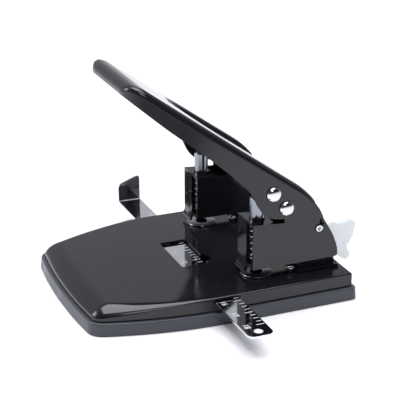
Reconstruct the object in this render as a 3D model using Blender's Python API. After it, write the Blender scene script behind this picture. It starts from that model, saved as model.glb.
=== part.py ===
"""Two-hole paper punch with a wishbone handle, a sliding paper rule and a chip tray.

Metres, +Z up, +X to the user's right, -Y towards the user.  The origin is on the surface that the
punch stands on, in the middle plane, below the line that joins the two punch pins.
Sizes are written in millimetres and turned into metres where a mesh is made.
"""
import math

import bmesh
import bpy
from mathutils import Matrix, Vector

MM = 0.001

# ---- driving sizes, millimetres -------------------------------------------------------------
HOLE_SPACING = 69.85        # centre to centre of the two punched holes (2 3/4 in)
GAP = 0.3                   # clearance between pieces that touch or run in each other
SHEET = 1.2                 # pressed steel sheet

TRAY_MARGIN = 21.075        # from the middle of a punched hole out to the side of the chip tray
TRAY_REAR = 45.4            # tray's rear edge
TRAY_FRONT = 90.4           # distance from the pin line forward to the tray's front edge
TRAY_HEIGHT = 6.2
TRAY_FLOOR = 1.5
TRAY_WALL = 4.0
TRAY_DRAFT = 0.5            # how far the side leans in over its height
TRAY_CORNER = 9.0           # plan radius of the front corners
TRAY_REAR_CORNER = 3.0
TRAY_TAPER_START = 20.0     # forward of this the sides curve inwards
TRAY_TAPER = 0.0026         # curvature of that taper, per millimetre
TRAY_BOW = 0.0014           # bow of the front edge, per millimetre

COVER_INSET = 2.3           # skirt inside the tray's outline
COVER_TOP = 13.2            # height of the flat top
COVER_EDGE = 0.6            # bevel width at the rear
COVER_BEVEL_FRONT = 9.4     # how much wider the bevel gets at the front edge
COVER_BEVEL_START = 30.0    # the bevel widens forward of this line
COVER_BEVEL_DROP = 0.62     # how far the bevel falls for each millimetre of its width

COVER_SECTION = ((0.0, 0.0), (0.1, 0.28), (0.45, 0.68), (0.8, 0.93), (1.0, 1.0))  # the bevel's shape

WINDOW_WIDTH = 32.0
WINDOW_NOTCH_RADIUS = 4.0
WINDOW_NOTCH_X = 8.0

RULE_WIDTH = 12.6
RULE_THICK = 1.0
RULE_LINE = 23.6            # rule's centre line, forward of the pin line
RULE_LEFT = 83.9
RULE_RIGHT = 93.5
RULE_TAB_FRONT = 11.2       # height of the stop tab at its front corner
RULE_TAB_REAR = 15.8        # and at its rear corner
RULE_HOLE_RADIUS = 2.1
RULE_HOLE_FROM_END = 4.6
RULE_SLOT_GAP = 0.5
GUIDE_X = 36.0              # centre of each rule guide from the middle plane
GUIDE_LENGTH = 12.0

PIN_RADIUS = 2.8
PIN_TIP = 19.6              # height of the cutting edge at rest
PIN_TOP = 53.0
PIN_STEP = 0.8              # how much thicker the pin is above the spring
PIN_NOTCH = 1.4             # depth of the V ground across the cutting end

DIE_FLANGE_RADIUS = 7.7
DIE_FLANGE = 0.7
DIE_NECK_RADIUS = 4.6
DIE_DEPTH = 5.0             # neck below the flange

HEAD_HALF = 9.0             # half width of each head bracket
HEAD_REAR = 39.9
HEAD_BOTTOM = 19.2
HEAD_TOP = 42.4
HEAD_TOP_REAR = 41.2        # height of the low top edge where it steps up
HEAD_STEP = 10.4            # where the side panels step up behind the handle
HEAD_SHOULDER = 44.6
HEAD_PLATE_REAR = 5.8       # rear edge of the top plate
HEAD_LIP = 15.7             # lower edge of the front flange
HEAD_LIP_FLARE = 1.4
HEAD_FLANGE_SHARE = 0.57    # part of the front face that the flange covers
HEAD_GUIDE_REAR = 6.6       # rear edge of the lower guide plate

FOOT_PLATE = 1.3
FOOT_FRONT = 18.2
FOOT_REAR = 41.0
CHEEK_THICK = 1.4
STOP_RADIUS = 1.9           # paper stop pin
STOP_OFFSET = 5.0
STOP_LINE = 15.9            # paper stop centre behind the pin line
STOP_HEIGHT = 3.0
SCREW_RADIUS = 1.5
SCREW_HEAD_RADIUS = 2.8
SCREW_HEAD = 1.6

PIVOT_Y = 29.0              # handle pivot behind the pin line
PIVOT_Z = 35.8
PIVOT_RADIUS = 1.9
PIVOT_HOLLOW = 0.9
PIVOT_PROUD = 0.8

SPRING_CLEARANCE = 0.6      # between the pin and the coil round it
SPRING_WIRE = 0.55
SPRING_TURNS = 6.2
COLLAR_THICK = 1.1

LEVER_GAP = 0.4             # between each lever plate and the cheek outside it
LEVER_THICK = 1.5
LEVER_BOSS = 4.8
LEVER_NOSE_RADIUS = 5.2
LEVER_NOSE_Y = 1.3
LEVER_NOSE_Z = 58.3
ROLLER_Y = -0.3
ROLLER_RADIUS = 2.5
ROLLER_AXLE = 1.2

HANDLE_SIDE_GAP = 0.775     # between a head and the handle wall beside it
HANDLE_TIP_NARROWING = 18.9
HANDLE_TIP = 62.3           # tip forward of the pin line
HANDLE_TOP_AT_PINS = 72.0   # height of the top surface above the pin line
HANDLE_SLOPE = 0.715        # fall of the top surface towards the rear
HANDLE_NOSE = 10.3          # length of the rounded nose
HANDLE_NOSE_DROP = 8.9
HANDLE_BEND = 4.0           # outside radius of the long bends
HANDLE_REAR = 31.2
HANDLE_REAR_Z = 41.2
HANDLE_REAR_BEND = 14.5     # length over which the rear end curves down
HANDLE_SHEET_REAR = 26.0    # rear end of the top sheet between the side walls
CROTCH_Y = 29.5             # front end of the opening, forward of the pin line
CROTCH_LENGTH = 15.0
LEG_INNER = 26.5            # half width of the opening between the legs
LEG_BEND = 3.2              # outside radius of the bend round the opening
LEG_RIM = 4.5               # depth of the rim turned down round the opening

DOMES = ((3.3, 57.6), (10.2, 49.5))     # rivets through the handle wall, (y, z)
DOME_RADIUS = 3.75
DOME_HEIGHT = 2.0
DOME_SHANK = 1.5

LATCH_HALF = 1.1
LATCH_PIVOT_Y = 35.4
LATCH_PIVOT_Z = 23.6
LATCH_PIN_RADIUS = 1.3

# ---- derived sizes --------------------------------------------------------------------------
HEAD_X = HOLE_SPACING / 2
TRAY_HALF_WIDTH = HEAD_X + TRAY_MARGIN
HANDLE_HALF = HEAD_X + HEAD_HALF + HANDLE_SIDE_GAP + SHEET
SIDES = (("left", -HEAD_X), ("right", HEAD_X))
COVER_UNDER = COVER_TOP - SHEET
COVER_BOTTOM = TRAY_HEIGHT + GAP
RULE_TOP = COVER_UNDER - GAP
RULE_BOTTOM = RULE_TOP - RULE_THICK
DIE_SEAT = COVER_TOP + GAP
FOOT_BOTTOM = COVER_TOP + GAP
FOOT_TOP = FOOT_BOTTOM + FOOT_PLATE
PANEL_IN = HEAD_HALF - SHEET
CHEEK_OUT = PANEL_IN - GAP
CHEEK_IN = CHEEK_OUT - CHEEK_THICK
LEVER_OUT = CHEEK_IN - LEVER_GAP
LEVER_IN = LEVER_OUT - LEVER_THICK
PIN_SHANK_RADIUS = PIN_RADIUS + PIN_STEP
SPRING_MEAN = PIN_RADIUS + SPRING_CLEARANCE + SPRING_WIRE
COLLAR_RADIUS = SPRING_MEAN + SPRING_WIRE
HEAD_FRONT = COLLAR_RADIUS + GAP + SHEET
SPRING_SEAT = HEAD_BOTTOM + SHEET + GAP
COLLAR_TOP = HEAD_TOP_REAR - SHEET - GAP
SHOULDER = COLLAR_TOP + GAP
COLLAR_BOTTOM = COLLAR_TOP - COLLAR_THICK
ROLLER_Z = PIN_TOP + GAP + ROLLER_RADIUS
WALL_IN = HANDLE_HALF - SHEET


# ---- outlines -------------------------------------------------------------------------------
def arc(cy, cz, radius, start, end, steps):
    """Points on a circle from one angle to another, in degrees."""
    angles = [math.radians(start + (end - start) * i / steps) for i in range(steps + 1)]
    return [(cy + radius * math.cos(a), cz + radius * math.sin(a)) for a in angles]


def rounded(corners, steps=4):
    """An outline whose corners, given as (u, v, radius), are turned into arcs."""
    points = []
    count = len(corners)
    for i, (u, v, radius) in enumerate(corners):
        here = Vector((u, v))
        back = Vector(corners[i - 1][:2]) - here
        ahead = Vector(corners[(i + 1) % count][:2]) - here
        if radius <= 0:
            points.append((u, v))
            continue
        half = back.angle(ahead) / 2
        reach = min(radius / math.tan(half), 0.49 * min(back.length, ahead.length))
        radius = reach * math.tan(half)
        centre = here + (back.normalized() + ahead.normalized()).normalized() * (radius / math.sin(half))
        first = here + back.normalized() * reach - centre
        last = here + ahead.normalized() * reach - centre
        turn = math.atan2(first.x * last.y - first.y * last.x, first.dot(last))
        for step in range(steps + 1):
            a = turn * step / steps
            x = first.x * math.cos(a) - first.y * math.sin(a)
            y = first.x * math.sin(a) + first.y * math.cos(a)
            points.append((centre.x + x, centre.y + y))
    return points


def tray_half_width(y):
    """Half width of the tray's outline at a distance y from the pin line."""
    return TRAY_HALF_WIDTH - TRAY_TAPER * max(0.0, -TRAY_TAPER_START - y) ** 2


def bevel_width(y):
    """Width of the cover's bevel, which grows towards the front."""
    share = max(0.0, -COVER_BEVEL_START - y) / (TRAY_FRONT - COVER_BEVEL_START)
    return COVER_EDGE + COVER_BEVEL_FRONT * share ** 1.3


def plan(inset, bevel=0.0):
    """Outline of the base moved in by a distance and by a share of the bevel, anticlockwise."""
    front = -TRAY_FRONT + inset + bevel * bevel_width(-TRAY_FRONT)
    rear = TRAY_REAR - inset - bevel * COVER_EDGE
    bow = TRAY_BOW * (1 - 0.6 * bevel)

    def half(y):
        return tray_half_width(y) - inset - bevel * bevel_width(y)

    corner_y = front
    for _ in range(20):
        corner_x = half(corner_y)
        corner_y = front + bow * corner_x * corner_x
    corner = max(1.5, TRAY_CORNER - inset - bevel * 0.5 * COVER_BEVEL_FRONT)
    side_start = corner_y + 10.0
    side_end = rear - 8.0
    points = [(corner_x * f, front + bow * (corner_x * f) ** 2, 0.0) for f in (0.0, 0.3, 0.6)]
    points.append((corner_x, corner_y, corner))
    for i in range(12):
        y = side_start + (side_end - side_start) * i / 11
        points.append((half(y), y, 0.0))
    points.append((half(rear), rear, max(0.5, TRAY_REAR_CORNER - inset)))
    mirrored = [(-x, y, r) for x, y, r in reversed(points) if x > 0]
    return rounded(points + mirrored, steps=6)


# ---- mesh helpers ---------------------------------------------------------------------------
def clear_scene():
    for item in list(bpy.data.objects):
        bpy.data.objects.remove(item, do_unlink=True)
    for store in (bpy.data.meshes, bpy.data.materials):
        for item in list(store):
            store.remove(item)


def mesh_object(name, bm):
    """A scene object from a closed bmesh in millimetres."""
    bmesh.ops.recalc_face_normals(bm, faces=bm.faces)
    bm.transform(Matrix.Scale(MM, 4))
    mesh = bpy.data.meshes.new(name)
    bm.to_mesh(mesh)
    bm.free()
    item = bpy.data.objects.new(name, mesh)
    bpy.context.scene.collection.objects.link(item)
    return item


def loft(name, rings):
    """A solid through rings of equal point counts, capped at both ends."""
    bm = bmesh.new()
    loops = [[bm.verts.new(p) for p in ring] for ring in rings]
    count = len(loops[0])
    for low, high in zip(loops, loops[1:]):
        for i in range(count):
            j = (i + 1) % count
            bm.faces.new((low[i], low[j], high[j], high[i]))
    bm.faces.new(list(reversed(loops[0])))
    bm.faces.new(loops[-1])
    return mesh_object(name, bm)


def prism(name, axis, outline, low, high):
    """An outline pushed along X (outline in y, z), Y (x, z) or Z (x, y)."""
    place = {"X": lambda u, v, w: (w, u, v),
             "Y": lambda u, v, w: (u, w, v),
             "Z": lambda u, v, w: (u, v, w)}[axis]
    return loft(name, [[place(u, v, w) for u, v in outline] for w in (low, high)])


def block(name, low, high):
    """A box between two corners."""
    outline = [(low[0], low[1]), (high[0], low[1]), (high[0], high[1]), (low[0], high[1])]
    return prism(name, "Z", outline, low[2], high[2])


def rod(name, axis, centre, radius, low, high, steps=24):
    """A round bar along an axis; centre is its place in the other two directions."""
    return prism(name, axis, arc(centre[0], centre[1], radius, 0, 360 - 360 / steps, steps - 1), low, high)


def turned(name, axis, centre, profile, steps=28):
    """A turned solid: profile is (radius, place along the axis), from one end on the axis to the other."""
    rings = [arc(centre[0], centre[1], radius, 0, 360 - 360 / steps, steps - 1) for radius, _ in profile]
    place = {"X": lambda p, w: (w, p[0], p[1]), "Z": lambda p, w: (p[0], p[1], w)}[axis]
    return loft(name, [[place(p, w) for p in ring] for ring, (_, w) in zip(rings, profile)])


def combine(base, operation, others):
    """Apply a Boolean with each other object in turn and remove those objects."""
    for other in others:
        step = base.modifiers.new("step", "BOOLEAN")
        step.operation = operation
        step.solver = "EXACT"
        step.object = other
        bpy.context.view_layer.update()
        result = bpy.data.meshes.new_from_object(base.evaluated_get(bpy.context.evaluated_depsgraph_get()))
        base.modifiers.clear()
        base.data = result
        bpy.data.objects.remove(other, do_unlink=True)
    return base


def joined(base, *others):
    return combine(base, "UNION", others)


def cut(base, *others):
    return combine(base, "DIFFERENCE", others)


def kept(base, *others):
    return combine(base, "INTERSECT", others)


def finish(item, material, pivot=None, smooth=None):
    """Give a piece its material, its shading and its origin."""
    item.data.materials.clear()
    item.data.materials.append(material)
    if smooth:
        item.data.shade_smooth()
        item.data.set_sharp_from_angle(angle=math.radians(smooth))
    if pivot:
        place = Vector(pivot) * MM
        item.data.transform(Matrix.Translation(-place))
        item.location = place
    return item


def paint(name, colour, roughness, metallic):
    material = bpy.data.materials.new(name)
    material.use_nodes = True
    shader = material.node_tree.nodes["Principled BSDF"]
    shader.inputs["Base Color"].default_value = (*colour, 1.0)
    shader.inputs["Roughness"].default_value = roughness
    shader.inputs["Metallic"].default_value = metallic
    material.diffuse_color = (*colour, 1.0)
    return material


def paints():
    """One material for each finish, made anew for every piece."""
    return {
        "enamel": ((0.012, 0.012, 0.014), 0.12, 0.0),
        "tray": ((0.045, 0.046, 0.05), 0.45, 0.0),
        "chrome": ((0.75, 0.75, 0.77), 0.12, 1.0),
        "spring": ((0.6, 0.6, 0.62), 0.25, 1.0),
        "die": ((0.35, 0.35, 0.37), 0.3, 1.0),
        "latch": ((0.72, 0.74, 0.76), 0.4, 0.0),
    }


def finish_as(item, kind, **options):
    return finish(item, paint(item.name + "_" + kind, *paints()[kind]), **options)


# ---- base -----------------------------------------------------------------------------------
def make_tray():
    body = loft("chip_tray", [[(x, y, 0.0) for x, y in plan(0.0)],
                              [(x, y, TRAY_HEIGHT) for x, y in plan(TRAY_DRAFT)]])
    cut(body, prism("hollow", "Z", plan(TRAY_WALL), TRAY_FLOOR, TRAY_HEIGHT + 5))
    return finish_as(body, "tray", smooth=40)


def cover_rings(thickness):
    """Rings of the pressed cover's surface, from its lower edge up to its flat top."""
    outline = plan(COVER_INSET + thickness)
    top = COVER_TOP - thickness
    rings = [[(x, y, COVER_BOTTOM) for x, y in outline]]
    for inward, up in COVER_SECTION:
        ring = []
        for (x, y), (_, edge) in zip(plan(COVER_INSET + thickness, inward), outline):
            fall = COVER_EDGE + COVER_BEVEL_DROP * (bevel_width(edge) - COVER_EDGE)
            ring.append((x, y, max(COVER_BOTTOM + 0.2 + 0.3 * up, top - fall * (1 - up))))
        rings.append(ring)
    return rings


def cover_shell():
    """The cover's outer and inner surfaces, joined round the lower edge."""
    bm = bmesh.new()
    skins = []
    for thickness in (0.0, SHEET):
        skins.append([[bm.verts.new(p) for p in ring] for ring in cover_rings(thickness)])
    count = len(skins[0][0])
    for skin in skins:
        for low, high in zip(skin, skin[1:]):
            for i in range(count):
                j = (i + 1) % count
                bm.faces.new((low[i], low[j], high[j], high[i]))
        bm.faces.new(skin[-1])
    for i in range(count):
        j = (i + 1) % count
        bm.faces.new((skins[0][0][i], skins[0][0][j], skins[1][0][j], skins[1][0][i]))
    return mesh_object("base_cover", bm)


def make_cover():
    cover = cover_shell()
    half_rule = RULE_WIDTH / 2 + RULE_SLOT_GAP
    reach = TRAY_HALF_WIDTH + 10
    window_low = -RULE_LINE - half_rule - 0.4
    window_high = -RULE_LINE + half_rule
    outline = rounded([(-WINDOW_WIDTH / 2 - 1, window_low, 0.8), (WINDOW_WIDTH / 2 - 1, window_low, 0.8),
                       (WINDOW_WIDTH / 2 - 1, window_high, 0.8), (-WINDOW_WIDTH / 2 - 1, window_high, 0.8)], 3)
    window = prism("window", "Z", outline, COVER_UNDER - 3, COVER_TOP + 3)
    notch = rod("notch", "Z", (WINDOW_NOTCH_X, window_high), WINDOW_NOTCH_RADIUS, COVER_UNDER - 2,
                COVER_TOP + 2)
    slot = block("slot", (-reach, -RULE_LINE - half_rule, RULE_BOTTOM - RULE_SLOT_GAP),
                 (reach, -RULE_LINE + half_rule, COVER_UNDER + 0.02))
    cut(cover, slot, window, notch)
    for _, x in SIDES:
        cut(cover, rod("die_hole", "Z", (x, 0.0), DIE_NECK_RADIUS + GAP, COVER_UNDER - 2, COVER_TOP + 2))
        for y in screw_places():
            cut(cover, rod("screw_hole", "Z", (x, y), SCREW_RADIUS + GAP, COVER_UNDER - 2, COVER_TOP + 2, 16))
    return finish_as(cover, "enamel", smooth=35, pivot=base_hinge())


def base_hinge():
    """Point on the line about which the punch lifts off its tray."""
    return 0.0, TRAY_REAR - COVER_INSET + 0.5, TRAY_HEIGHT + GAP / 2


def screw_places():
    return FOOT_FRONT + 4.0, FOOT_REAR - 4.0


# ---- rule -----------------------------------------------------------------------------------
def make_rule():
    half = RULE_WIDTH / 2
    end = rounded([(-RULE_LEFT, -RULE_LINE - half, 0), (RULE_RIGHT - 2.2, -RULE_LINE - half, 2.5),
                   (RULE_RIGHT, -RULE_LINE, 12.0), (RULE_RIGHT - 2.2, -RULE_LINE + half, 2.5),
                   (-RULE_LEFT, -RULE_LINE + half, 0)], 5)
    strip = prism("paper_rule", "Z", end, RULE_BOTTOM, RULE_TOP)
    tab = prism("tab", "X", rounded([(-RULE_LINE - half, RULE_BOTTOM, 0), (-RULE_LINE + half, RULE_BOTTOM, 0),
                                     (-RULE_LINE + half, RULE_TOP + RULE_TAB_REAR, 3.0),
                                     (-RULE_LINE - half, RULE_TOP + RULE_TAB_FRONT, 1.0)], 5),
                -RULE_LEFT - RULE_THICK, -RULE_LEFT + 0.001)
    joined(strip, tab)
    hole_x = RULE_RIGHT - RULE_HOLE_FROM_END
    cut(strip, rod("hole", "Z", (hole_x, -RULE_LINE), RULE_HOLE_RADIUS, RULE_BOTTOM - 1, RULE_TOP + 1, 20))
    return finish_as(strip, "enamel", pivot=(0.0, -RULE_LINE, RULE_BOTTOM))


def make_guides():
    """U-shaped saddles under the cover that carry the rule."""
    inner = RULE_WIDTH / 2 + GAP
    outer = inner + SHEET
    low = RULE_BOTTOM - GAP - SHEET
    top = COVER_UNDER - GAP
    section = [(-outer, top), (-outer, low), (outer, low), (outer, top), (inner, top),
               (inner, low + SHEET), (-inner, low + SHEET), (-inner, top)]
    section = [(-RULE_LINE + u, v) for u, v in section]
    for name, side in (("left", -1), ("right", 1)):
        middle = side * GUIDE_X
        guide = prism(name + "_rule_guide", "X", section, middle - GUIDE_LENGTH / 2,
                      middle + GUIDE_LENGTH / 2)
        finish_as(guide, "spring")


# ---- punch heads ----------------------------------------------------------------------------
def panel_outline():
    """Side panel of a head bracket in y, z, round from the front lower corner."""
    return rounded([(-HEAD_FRONT, HEAD_BOTTOM, 0), (HEAD_REAR, HEAD_BOTTOM, 1.5),
                    (HEAD_REAR - 0.6, 24.5, 20.0),
                    (PIVOT_Y + 7.6, 31.5, 20.0), (PIVOT_Y + 2.3, PIVOT_Z + 4.9, 1.0),
                    (PIVOT_Y - 4.4, PIVOT_Z + 6.4, 2.0), (PIVOT_Y - 8.5, HEAD_SHOULDER, 2.0),
                    (HEAD_STEP, HEAD_SHOULDER, 0.8), (HEAD_STEP, HEAD_TOP_REAR, 0),
                    (-HEAD_FRONT, HEAD_TOP, 0)], 4)


def make_head(name, x):
    """Folded bracket that holds the punch pin over the die."""
    panels = [prism(side + "_panel", "X", panel_outline(), x + low, x + low + SHEET)
              for side, low in (("outer", PANEL_IN), ("inner", -HEAD_HALF))]
    head = panels[0]
    flange_end = x - HEAD_HALF + 2 * HEAD_HALF * HEAD_FLANGE_SHARE
    front = -HEAD_FRONT
    flange_section = [(front, HEAD_TOP), (front, HEAD_LIP + 3.2), (front - HEAD_LIP_FLARE, HEAD_LIP),
                      (front - HEAD_LIP_FLARE + SHEET, HEAD_LIP), (front + SHEET, HEAD_LIP + 3.4),
                      (front + SHEET, HEAD_TOP)]
    flange = prism("flange", "X", flange_section, x - HEAD_HALF, flange_end)
    plate_section = [(front, HEAD_TOP), (front, HEAD_TOP - SHEET),
                     (HEAD_PLATE_REAR, HEAD_TOP_REAR - SHEET + 0.2), (HEAD_PLATE_REAR, HEAD_TOP_REAR + 0.2)]
    top_plate = prism("top_plate", "X", plate_section, x - HEAD_HALF, x + HEAD_HALF)
    guide = block("guide", (x - HEAD_HALF, front, HEAD_BOTTOM),
                  (x + HEAD_HALF, HEAD_GUIDE_REAR, HEAD_BOTTOM + SHEET))
    joined(head, top_plate, guide, panels[1], flange)
    cut(head, rod("pin_way", "Z", (x, 0.0), PIN_RADIUS + GAP, HEAD_BOTTOM - 2, HEAD_TOP - 5),
        rod("shank_way", "Z", (x, 0.0), PIN_SHANK_RADIUS + GAP, HEAD_TOP - 5, HEAD_TOP + 3),
        rod("pivot_hole", "X", (PIVOT_Y, PIVOT_Z), PIVOT_RADIUS + GAP, x - HEAD_HALF - 1, x + HEAD_HALF + 1))
    return finish_as(head, "enamel", smooth=30)


def make_foot(name, x):
    """Plate on the cover with two cheeks inside the head bracket."""
    foot = prism(name, "Z", rounded([(x - HEAD_HALF, FOOT_FRONT, 1.5), (x + HEAD_HALF, FOOT_FRONT, 1.5),
                                     (x + HEAD_HALF, FOOT_REAR, 1.5), (x - HEAD_HALF, FOOT_REAR, 1.5)], 3),
                 FOOT_BOTTOM, FOOT_TOP)
    cheek = rounded([(FOOT_FRONT + 1.5, FOOT_BOTTOM + 0.2, 0), (HEAD_REAR - 1.4, FOOT_BOTTOM + 0.2, 0),
                     (HEAD_REAR - 1.4, 26.0, 8.0), (PIVOT_Y + 5.5, 35.0, 4.0),
                     (PIVOT_Y + 1.5, PIVOT_Z + 3.8, 2.0),
                     (PIVOT_Y - 4.5, PIVOT_Z + 3.8, 2.0), (FOOT_FRONT + 1.5, 30.0, 3.0)], 3)
    for low in (-CHEEK_OUT, CHEEK_IN):
        joined(foot, prism("cheek", "X", cheek, x + low, x + low + CHEEK_THICK))
    cut(foot, rod("pivot_hole", "X", (PIVOT_Y, PIVOT_Z), PIVOT_RADIUS + GAP, x - HEAD_HALF, x + HEAD_HALF),
        rod("latch_hole", "X", (LATCH_PIVOT_Y, LATCH_PIVOT_Z), LATCH_PIN_RADIUS + GAP, x - HEAD_HALF,
            x + HEAD_HALF, 16))
    for y in screw_places():
        cut(foot, rod("screw_hole", "Z", (x, y), SCREW_RADIUS + GAP, FOOT_BOTTOM - 1, FOOT_TOP + 1, 16))
    return finish_as(foot, "enamel")


def make_die(name, x):
    bore = PIN_RADIUS + GAP
    low = DIE_SEAT - DIE_DEPTH
    profile = [(DIE_NECK_RADIUS, low), (DIE_NECK_RADIUS, DIE_SEAT), (DIE_FLANGE_RADIUS, DIE_SEAT),
               (DIE_FLANGE_RADIUS, DIE_SEAT + DIE_FLANGE * 0.5),
               (DIE_FLANGE_RADIUS - 0.5, DIE_SEAT + DIE_FLANGE)]
    die = turned(name, "Z", (x, 0.0), profile, 36)
    cut(die, rod("bore", "Z", (x, 0.0), bore, low - 1, DIE_SEAT + DIE_FLANGE + 1))
    return finish_as(die, "die", smooth=35)


def make_pin(name, x):
    profile = [(PIN_RADIUS, PIN_TIP), (PIN_RADIUS, SHOULDER), (PIN_SHANK_RADIUS, SHOULDER),
               (PIN_SHANK_RADIUS, PIN_TOP - 0.5), (PIN_SHANK_RADIUS - 0.5, PIN_TOP)]
    pin = turned(name, "Z", (x, 0.0), profile)
    wide = PIN_RADIUS + 1
    groove = prism("groove", "X", [(-wide, PIN_TIP - 1), (wide, PIN_TIP - 1), (0, PIN_TIP + PIN_NOTCH)],
                   x - wide, x + wide)
    cut(pin, groove)
    return finish_as(pin, "chrome", smooth=35, pivot=(x, 0.0, PIN_TIP))


def make_collar(name, x):
    collar = rod(name, "Z", (x, 0.0), COLLAR_RADIUS, COLLAR_BOTTOM, COLLAR_TOP)
    cut(collar, rod("bore", "Z", (x, 0.0), PIN_RADIUS + GAP, COLLAR_BOTTOM - 1, COLLAR_TOP + 1))
    return finish_as(collar, "spring", smooth=35, pivot=(x, 0.0, COLLAR_BOTTOM))


def spring_height(turn):
    """Height of the wire's centre after a number of turns: closed below, open above."""
    low = SPRING_SEAT + SPRING_WIRE
    high = COLLAR_BOTTOM - GAP - SPRING_WIRE
    closed = 2.3 * SPRING_WIRE
    if turn < 1.5:
        return low + closed * turn
    start = low + closed * 1.5
    return start + (high - start) * (turn - 1.5) / (SPRING_TURNS - 1.5)


def make_spring(name, x):
    """Return spring round the punch pin, a coiled tube closed at both ends."""
    steps = int(SPRING_TURNS * 16)
    rings = []
    for i in range(steps + 1):
        turn = SPRING_TURNS * i / steps
        a = turn * 2 * math.pi
        outward = Vector((math.cos(a), math.sin(a), 0))
        centre = Vector((x, 0, spring_height(turn))) + outward * SPRING_MEAN
        ring = []
        for k in range(6):
            b = k * math.pi / 3
            lift = Vector((0, 0, SPRING_WIRE * math.sin(b)))
            ring.append(centre + outward * (SPRING_WIRE * math.cos(b)) + lift)
        rings.append(ring)
    return finish_as(loft(name, rings), "spring", smooth=60, pivot=(x, 0.0, SPRING_SEAT))


def make_stop(name, x):
    """Round-headed pin that the paper's edge meets."""
    low = FOOT_BOTTOM
    top = low + STOP_HEIGHT
    stop = turned(name, "Z", (x + STOP_OFFSET, STOP_LINE), [(STOP_RADIUS, low), (STOP_RADIUS, top - 1.2),
                                                            (STOP_RADIUS * 0.8, top - 0.45),
                                                            (STOP_RADIUS * 0.4, top)], 20)
    return finish_as(stop, "chrome", smooth=50)


def make_screw(name, x, y):
    """Screw from below the cover into the foot plate."""
    head = COVER_UNDER - GAP - SCREW_HEAD
    screw = turned(name, "Z", (x, y), [(SCREW_HEAD_RADIUS, head), (SCREW_HEAD_RADIUS, head + SCREW_HEAD),
                                       (SCREW_RADIUS, head + SCREW_HEAD), (SCREW_RADIUS, FOOT_TOP)], 16)
    return finish_as(screw, "spring", smooth=35)


def make_pivot(name, x):
    """Hollow-ended rivet through the head, the cheeks and the lever."""
    reach = HEAD_HALF + PIVOT_PROUD
    rivet = rod(name, "X", (PIVOT_Y, PIVOT_Z), PIVOT_RADIUS, x - reach, x + reach, 20)
    for side in (-1, 1):
        ends = sorted((x + side * (reach - 1.2), x + side * (reach + 1)))
        cut(rivet, rod("hollow", "X", (PIVOT_Y, PIVOT_Z), PIVOT_HOLLOW, ends[0], ends[1], 16))
    return finish_as(rivet, "chrome", smooth=35)


# ---- handle ---------------------------------------------------------------------------------
def handle_half(y):
    """Outer half width of the handle."""
    share = min(1.0, max(0.0, -y / HANDLE_TIP))
    return HANDLE_HALF - HANDLE_TIP_NARROWING * share ** 1.8


def handle_top(y):
    """Height of the top surface, with its rounded nose and its rear end curved down."""
    z = HANDLE_TOP_AT_PINS - HANDLE_SLOPE * y
    nose_start = -HANDLE_TIP + HANDLE_NOSE
    if y < nose_start:
        share = min(1.0, (nose_start - y) / HANDLE_NOSE)
        z -= HANDLE_NOSE_DROP * (1 - math.sqrt(max(0.0, 1 - share * share)))
    rear_start = HANDLE_REAR - HANDLE_REAR_BEND
    if y > rear_start:
        share = min(1.0, (y - rear_start) / HANDLE_REAR_BEND)
        drop = HANDLE_TOP_AT_PINS - HANDLE_SLOPE * HANDLE_REAR - HANDLE_REAR_Z
        z -= drop * (1 - math.sqrt(max(0.0, 1 - share * share)))
    return z


def wall_outline():
    """Side view of the outer wall in y, z: everything below its lower edge is cut away."""
    tip_z = HANDLE_TOP_AT_PINS + HANDLE_SLOPE * HANDLE_TIP - HANDLE_NOSE_DROP
    return rounded([(-HANDLE_TIP - 20, tip_z + 16.5, 0), (-30.0, 80.4, 90.0), (-9.1, 61.9, 12.0),
                    (-4.6, 52.0, 8.0), (0.5, 46.0, 5.0),
                    (9.0, 44.3, 10.0), (20.0, 43.6, 10.0), (HANDLE_REAR - 0.6, HANDLE_REAR_Z - 0.6, 0),
                    (HANDLE_REAR + 20, HANDLE_REAR_Z - 8, 0), (HANDLE_REAR + 20, -20, 0),
                    (-HANDLE_TIP - 20, -20, 0)], 5)


def handle_sections(thickness, name):
    """A full-height solid under the handle's surface, moved inwards by a thickness."""
    stations = [-HANDLE_TIP + HANDLE_NOSE * (1 - math.cos(i * math.pi / 16)) for i in range(9)]
    first = stations[-1]
    rear_start = HANDLE_REAR - HANDLE_REAR_BEND
    stations += [first + (rear_start - first) * i / 10 for i in range(1, 11)]
    stations += [rear_start + HANDLE_REAR_BEND * math.sin(i * math.pi / 16) for i in range(1, 9)]
    rings = []
    for y in stations:
        half = handle_half(y) - thickness
        top = handle_top(y) - thickness * math.hypot(1.0, HANDLE_SLOPE)
        radius = HANDLE_BEND - thickness
        corner = arc(half - radius, top - radius, radius, 0, 90, 5)
        section = [(half, 10.0)] + corner + [(-u, v) for u, v in reversed(corner)] + [(-half, 10.0)]
        rings.append([(u, y + (thickness if y < first else 0.0), v) for u, v in section])
    if thickness:
        rings.append([(u, HANDLE_REAR + 5, v - 6) for u, _, v in rings[-1]])
    return loft(name, rings)


def arch(spread):
    """The space between the legs in plan, a blunt arch open to the rear, grown by a spread."""
    half = LEG_INNER + spread
    length = CROTCH_LENGTH + spread
    front = -CROTCH_Y - spread
    points = []
    for i in range(17):
        a = math.pi * i / 16
        points.append((-half * math.cos(a), front + length * (1 - math.sin(a))))
    start = front + length
    side = [start + (HANDLE_REAR + 8 - start) * i / 10 for i in range(1, 11)]
    return points + [(half, y) for y in side] + [(-half, y) for y in reversed(side)]


def opening(name, spread, radius):
    """A cutter for the opening whose upper edge flares, so that it leaves a rounded bend."""
    below = spread * math.hypot(1.0, HANDLE_SLOPE)
    rings = [[(x, y, 0.0) for x, y in arch(spread)]]
    for angle in (0, 30, 60, 84):
        out = radius * (1 - math.cos(math.radians(angle)))
        down = radius * (1 - math.sin(math.radians(angle)))
        rings.append([(x, y, handle_top(y) - below - down) for x, y in arch(spread + out)])
    rings.append([(x, y, handle_top(y) + 30.0) for x, y in arch(spread + out)])
    return loft(name, rings)


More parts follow.
